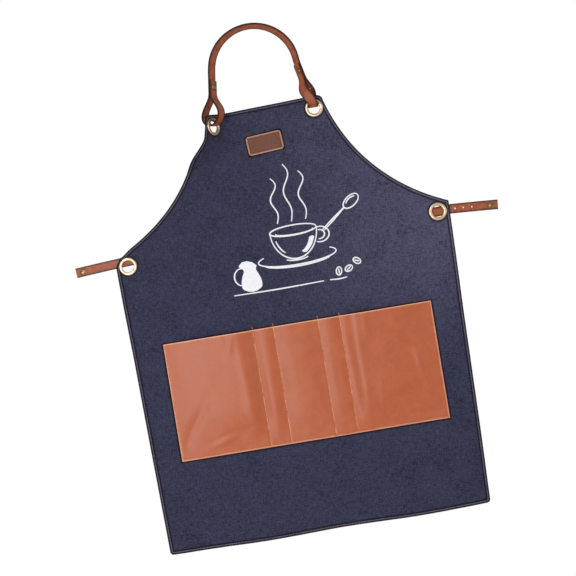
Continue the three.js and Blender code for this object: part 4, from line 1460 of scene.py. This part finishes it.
def strap_sheet(route, hints, width, columns=8):
    """A flat strap along a route, its width along the hints."""
    count = len(route)
    sides = []
    for index, hint in enumerate(hints):
        along = (route[min(index + 1, count - 1)] - route[max(index - 1, 0)]).normalized()
        sides.append((hint - along * hint.dot(along)).normalized())

    bm = mapped_grid(columns, count - 1, lambda column, row: Vector((column, row, 0)))
    layer = bm.verts.layers.float.new("edge_distance")
    for vert in bm.verts:
        column, row = round(vert.co.x), round(vert.co.y)
        vert[layer] = width * min(column, columns - column) / columns
        vert.co = route[row] + sides[row] * width * (column / columns - 0.5)
    return bm


def punch(centre, direction, radius, length, segments=20):
    """A solid to cut a round hole with."""
    bm = bmesh.new()
    bmesh.ops.create_cone(
        bm, cap_ends=True, segments=segments, radius1=radius, radius2=radius, depth=length,
        matrix=standing_on(centre, direction))
    return bm


class APRON_OT_neck_strap(bpy.types.Operator):
    """Makes the neck strap, looped through both bib grommets"""

    bl_idname = "apron.neck_strap"
    bl_label = "Neck strap"

    def execute(self, context):
        left, right = Loop("left"), Loop("right")
        stations = [*left.stations(), *arch_stations(), *reversed(right.stations())]
        route = [point + STRAP_ORIGIN for point in smooth_run([at for at, _ in stations], 4, 0.5)]
        hints = smooth_run([across for _, across in stations], 4, 0.0)
        bm = thickened(strap_sheet(route, hints, NECK_WIDTH), STRAP_LEATHER, 0.0005)
        cutters = []
        for loop in (left, right):
            for q in NECK_HOLES:
                centre = loop.point(loop.radius, q) + STRAP_ORIGIN
                cutters.append(punch(centre, loop.inward(q), PUNCH, 1.4 * loop.radius))
        add_piece(
            "neck_strap_leather", cut_out(bm, cutters), material("Strap leather"), "neck_loop",
            ["neck_strap"])
        return {"FINISHED"}


# ---------- waist strap ----------

WAIST_WIDTH = 0.019
WAIST_CROWN = 0.015
WAIST_BOW = 0.09
WAIST_BEHIND = 0.005
# The strap sags where it passes the right waist grommet.
WAIST_SAG = 0.0032
WAIST_SAG_PLACE = 0.303
WAIST_SAG_REACH = 0.016
WAIST_TIPS = {"left": -0.411, "right": 0.427}
WAIST_HOLES = {"left": (), "right": (0.343, 0.359, 0.376)}
STUD_FROM_TIP = 0.0135


def waist_point(x):
    sag = WAIST_SAG * math.exp(-(((x - WAIST_SAG_PLACE) / WAIST_SAG_REACH) ** 2))
    return STRAP_ORIGIN + Vector((x, SETBACK + WAIST_BEHIND, WAIST_CROWN - WAIST_BOW * x * x - sag))


class APRON_OT_waist_strap(bpy.types.Operator):
    """Makes the waist strap in two halves, each running from the middle of the panel out to its tip"""

    bl_idname = "apron.waist_strap"
    bl_label = "Waist strap"

    def execute(self, context):
        for side, tip in WAIST_TIPS.items():
            steps = round(abs(tip) / 0.003)
            route = [waist_point(tip * step / steps) for step in range(steps + 1)]
            hints = [Vector((0, 0, math.copysign(1, tip)))] * len(route)
            bm = thickened(strap_sheet(route, hints, WAIST_WIDTH), STRAP_LEATHER, 0.0004)
            cutters = [punch(waist_point(x), Vector((0, 1, 0)), PUNCH, 0.012) for x in WAIST_HOLES[side]]
            if cutters:
                bm = cut_out(bm, cutters)
            nodes = [f"waist_strap_{side}_end"] + (["waist_strap_middle"] if side == "left" else [])
            half = add_piece(
                f"waist_strap_{side}_half", bm, material("Strap leather"), None, nodes)
            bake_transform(half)
        return {"FINISHED"}


# ---------- studs ----------

STUD_HEAD = 0.0067
STUD_POST = 0.0024


def stud_profile(post):
    """A domed head with a stepped rim, on a post that goes through the leather."""
    return [
        (0, 0.0026), (0.0016, 0.00255), (0.0032, 0.0023), (0.0046, 0.0019), (0.0052, 0.0015),
        (0.0055, 0.0011), (0.0060, 0.0012), (0.0065, 0.0009), (STUD_HEAD, 0.0004), (STUD_HEAD, 0),
        (STUD_POST, 0), (STUD_POST, -post), (0.0017, -post), (0.0017, -0.0006), (0, -0.0006)]


def screw_profile(post):
    seat = -(post + GAP)
    return [
        (0, -0.0009), (0.0014, -0.0009), (0.0014, seat), (0.0050, seat), (0.0050, seat - 0.0009),
        (0.0046, seat - 0.0013), (0.0038, seat - 0.0015), (0, seat - 0.0016)]


def stud_places():
    """Where each stud's head sits, the way it looks, how many layers it holds, and its body."""
    for side in LOOPS:
        loop = Loop(side)
        out = loop.inward(LOOP_STUD)
        seat = STRAP_ORIGIN + loop.point(0, LOOP_STUD) + out * (STRAP_LEATHER + 1.5 * GAP)
        yield f"neck_{side}", seat, out, 2, "neck_loop"
    for side, tip in WAIST_TIPS.items():
        out = Vector((0, -1, 0))
        seat = waist_point(tip - math.copysign(STUD_FROM_TIP, tip)) + out * (STRAP_LEATHER / 2 + GAP)
        yield f"waist_{side}", seat, out, 1, f"waist_{side}_end"


class APRON_OT_studs(bpy.types.Operator):
    """Makes the four studs and the slotted screws that close them"""

    bl_idname = "apron.studs"
    bl_label = "Studs"

    def execute(self, context):
        for name, seat, out, layers, body in stud_places():
            post = layers * (STRAP_LEATHER + GAP)
            place = standing_on(seat, out)
            slot = bmesh.new()
            bmesh.ops.create_cube(slot, size=1, matrix=Matrix.Translation(
                (0, 0, -(post + GAP + 0.0016))) @ Matrix.Diagonal((0.012, 0.0011, 0.0012, 1)))
            pieces = (
                ("stud_head", lathed(stud_profile(post), 40), "stud"),
                ("stud_screw", cut_out(lathed(screw_profile(post), 40), [slot]), "screw"),
            )
            for piece, bm, node in pieces:
                bmesh.ops.transform(bm, matrix=place, verts=bm.verts)
                add_piece(
                    f"{piece}_{name}", bm, material("Aged brass"), body, [f"{name}_{node}"])
        return {"FINISHED"}


# ---------- print ----------


def ellipse(centre, half_width, half_height, start=0, end=360, steps=28, lean=0):
    """Points of an ellipse or a part of one. Angles are in degrees."""
    points = []
    for step in range(steps + 1):
        turn = math.radians(lerp(start, end, step / steps))
        point = Vector((half_width * math.cos(turn), half_height * math.sin(turn)))
        point.rotate(Matrix.Rotation(math.radians(lean), 2))
        points.append(Vector(centre) + point)
    return points


def steam(foot, height, sway, waves, steps=30):
    """A wisp of steam that sways more as it rises."""
    points = []
    for step in range(steps + 1):
        share = step / steps
        swing = sway * (0.35 + 0.65 * share) * math.sin(math.tau * waves * share)
        points.append(Vector(foot) + Vector((swing, height * share)))
    return points


JUG_FOOT = Vector((-0.074, -0.086))
BEANS = (((0.118, -0.078), 25), ((0.136, -0.066), -35), ((0.098, -0.080), 80))


def print_lines():
    """The lines of the drawing, as if by pen: a steaming cup on its saucer, a spoon, a jug and beans."""
    cup_u, rim_v = 0.022, 0.014
    lines = [
        ellipse((cup_u, rim_v), 0.046, 0.010),
        ellipse((cup_u + 0.002, rim_v - 0.003), 0.037, 0.006, 175, 365, 18),
        ellipse((cup_u, rim_v), 0.046, 0.056, 180, 360),
        ellipse((cup_u - 0.003, rim_v - 0.004), 0.035, 0.044, 196, 238, 10),
        ellipse((cup_u + 0.051, rim_v - 0.017), 0.018, 0.015, -118, 112, 18),
        ellipse((cup_u + 0.049, rim_v - 0.017), 0.011, 0.009, -100, 95, 14),
        ellipse((cup_u, rim_v - 0.054), 0.022, 0.005, 195, 345, 12),
        ellipse((cup_u, rim_v - 0.053), 0.077, 0.015, 148, 392, 30),
        ellipse((cup_u, rim_v - 0.057), 0.070, 0.014, 205, 335, 20),
    ]
    for offset, height in ((-0.028, 0.090), (0.0, 0.114), (0.028, 0.096)):
        lines.append(steam((cup_u + offset, rim_v + 0.017), height, 0.009, 1.5))
    bowl = Vector((0.143, 0.050))
    lines.append(ellipse(bowl, 0.018, 0.010, lean=34))
    lines.append(ellipse(bowl, 0.012, 0.006, 20, 150, 10, lean=34))
    grip = bowl - Vector((0.015, 0.010))
    for side in (-0.0016, 0.0016):
        shift = Vector((-side, side)) * 0.7
        middle, tip = grip - Vector((0.026, 0.020)), grip - Vector((0.047, 0.036))
        lines.append([grip + shift * 0.3, middle + shift, tip + shift])
    lines.append(ellipse(JUG_FOOT + Vector((-0.017, 0.026)), 0.015, 0.017, 75, 265, 16))
    for start, end in ((-0.112, 0.066), (0.078, 0.112)):
        lines.append([Vector((start, -0.094)), Vector(((start + end) / 2, -0.0952)), Vector((end, -0.094))])
    for centre, lean in BEANS:
        lines.append(ellipse(centre, 0.0078, 0.0052, lean=lean))
        seam = Vector((0.0050, 0.0012))
        seam.rotate(Matrix.Rotation(math.radians(lean), 2))
        lines.append([Vector(centre) - seam, Vector(centre), Vector(centre) + seam])
    return lines


def print_solids():
    """The filled shapes of the drawing: the jug's body and the shaded side of the cup."""
    right = [(0.017, 0), (0.020, 0.012), (0.016, 0.027), (0.012, 0.038), (0.014, 0.045)]
    left = [(-0.020, 0.049), (-0.012, 0.038), (-0.016, 0.027), (-0.020, 0.012), (-0.017, 0)]
    jug = [JUG_FOOT + Vector(point) for point in (*right, *left)]
    outer = ellipse((0.022, 0.010), 0.041, 0.048, 298, 342, 8)
    inner = ellipse((0.016, 0.008), 0.037, 0.042, 342, 298, 8)
    return [jug, outer + inner]


def curve_mesh(name, strokes, closed, dimensions, **options):
    """The mesh of smooth curves through lists of points on the pattern."""
    curve = bpy.data.curves.new(name, "CURVE")
    curve.dimensions = dimensions
    for option, value in options.items():
        setattr(curve, option, value)
    for stroke in strokes:
        spline = curve.splines.new("BEZIER")
        spline.use_cyclic_u = closed
        spline.resolution_u = 4
        spline.bezier_points.add(len(stroke) - 1)
        for index, (point, place) in enumerate(zip(spline.bezier_points, stroke)):
            point.co = (*place, 0)
            point.handle_left_type = point.handle_right_type = "AUTO"
            point.radius = 0.72 + 0.28 * math.sin(math.pi * index / (len(stroke) - 1))
    drawn = bpy.data.objects.new(name, curve)
    bpy.context.scene.collection.objects.link(drawn)
    graph = bpy.context.evaluated_depsgraph_get()
    mesh = bpy.data.meshes.new_from_object(drawn.evaluated_get(graph), depsgraph=graph)
    bpy.data.objects.remove(drawn)
    return mesh


class APRON_OT_print(bpy.types.Operator):
    """Prints the white line drawing on the front of the cloth"""

    bl_idname = "apron.print"
    bl_label = "Print"

    def execute(self, context):
        half = context.scene.apron_print.line_width / 2
        lines = curve_mesh(
            "print_lines", print_lines(), False, "3D", bevel_depth=half, bevel_resolution=1,
            use_fill_caps=True)
        solids = curve_mesh("print_solids", print_solids(), True, "2D", fill_mode="BOTH", extrude=half)
        bm = bmesh.new()
        for mesh in (lines, solids):
            bm.from_mesh(mesh)
            bpy.data.meshes.remove(mesh)
        bmesh.ops.remove_doubles(bm, verts=bm.verts, dist=1e-6)
        keep_pattern(bm)
        film = 0.00018
        for vert in bm.verts:
            u, v, w = vert.co
            vert.co = lifted(cloth_middle, u, v, DENIM_FACE + film * (1.1 + w / half))
        bmesh.ops.recalc_face_normals(bm, faces=bm.faces)
        add_piece("front_print", bm, material("White print"), "apron_panel", sharp=60)
        return {"FINISHED"}


# ---------- add-on ----------


class APRON_PT_build(bpy.types.Panel):
    """The apron's pieces, in the order in which they are made"""

    bl_label = "Bib Apron"
    bl_idname = "APRON_PT_build"
    bl_space_type = "VIEW_3D"
    bl_region_type = "UI"
    bl_category = "Apron"

    def draw(self, context):
        for operator in OPERATORS:
            self.layout.operator(operator.bl_idname)


OPERATORS = (
    APRON_OT_stage,
    APRON_OT_denim_panel,
    APRON_OT_hem_stitches,
    APRON_OT_pocket,
    APRON_OT_pocket_stitches,
    APRON_OT_label,
    APRON_OT_grommets,
    APRON_OT_neck_strap,
    APRON_OT_waist_strap,
    APRON_OT_studs,
    APRON_OT_print,
)

SETTINGS = {
    "apron_cloth": ClothSettings,
    "apron_leather": LeatherSettings,
    "apron_metal": MetalSettings,
    "apron_print": PrintSettings,
    "apron_stage": StageSettings,
}


def register():
    for settings in SETTINGS.values():
        bpy.utils.register_class(settings)
    for name, settings in SETTINGS.items():
        setattr(bpy.types.Scene, name, PointerProperty(type=settings))
    for cls in (*OPERATORS, APRON_PT_build):
        bpy.utils.register_class(cls)


def unregister():
    for cls in reversed((*OPERATORS, APRON_PT_build)):
        bpy.utils.unregister_class(cls)
    for name in SETTINGS:
        delattr(bpy.types.Scene, name)
    for settings in SETTINGS.values():
        bpy.utils.unregister_class(settings)


def main():
    register()
    for operator in OPERATORS:
        group, name = operator.bl_idname.split(".")
        getattr(getattr(bpy.ops, group), name)()


if __name__ == "__main__":
    main()
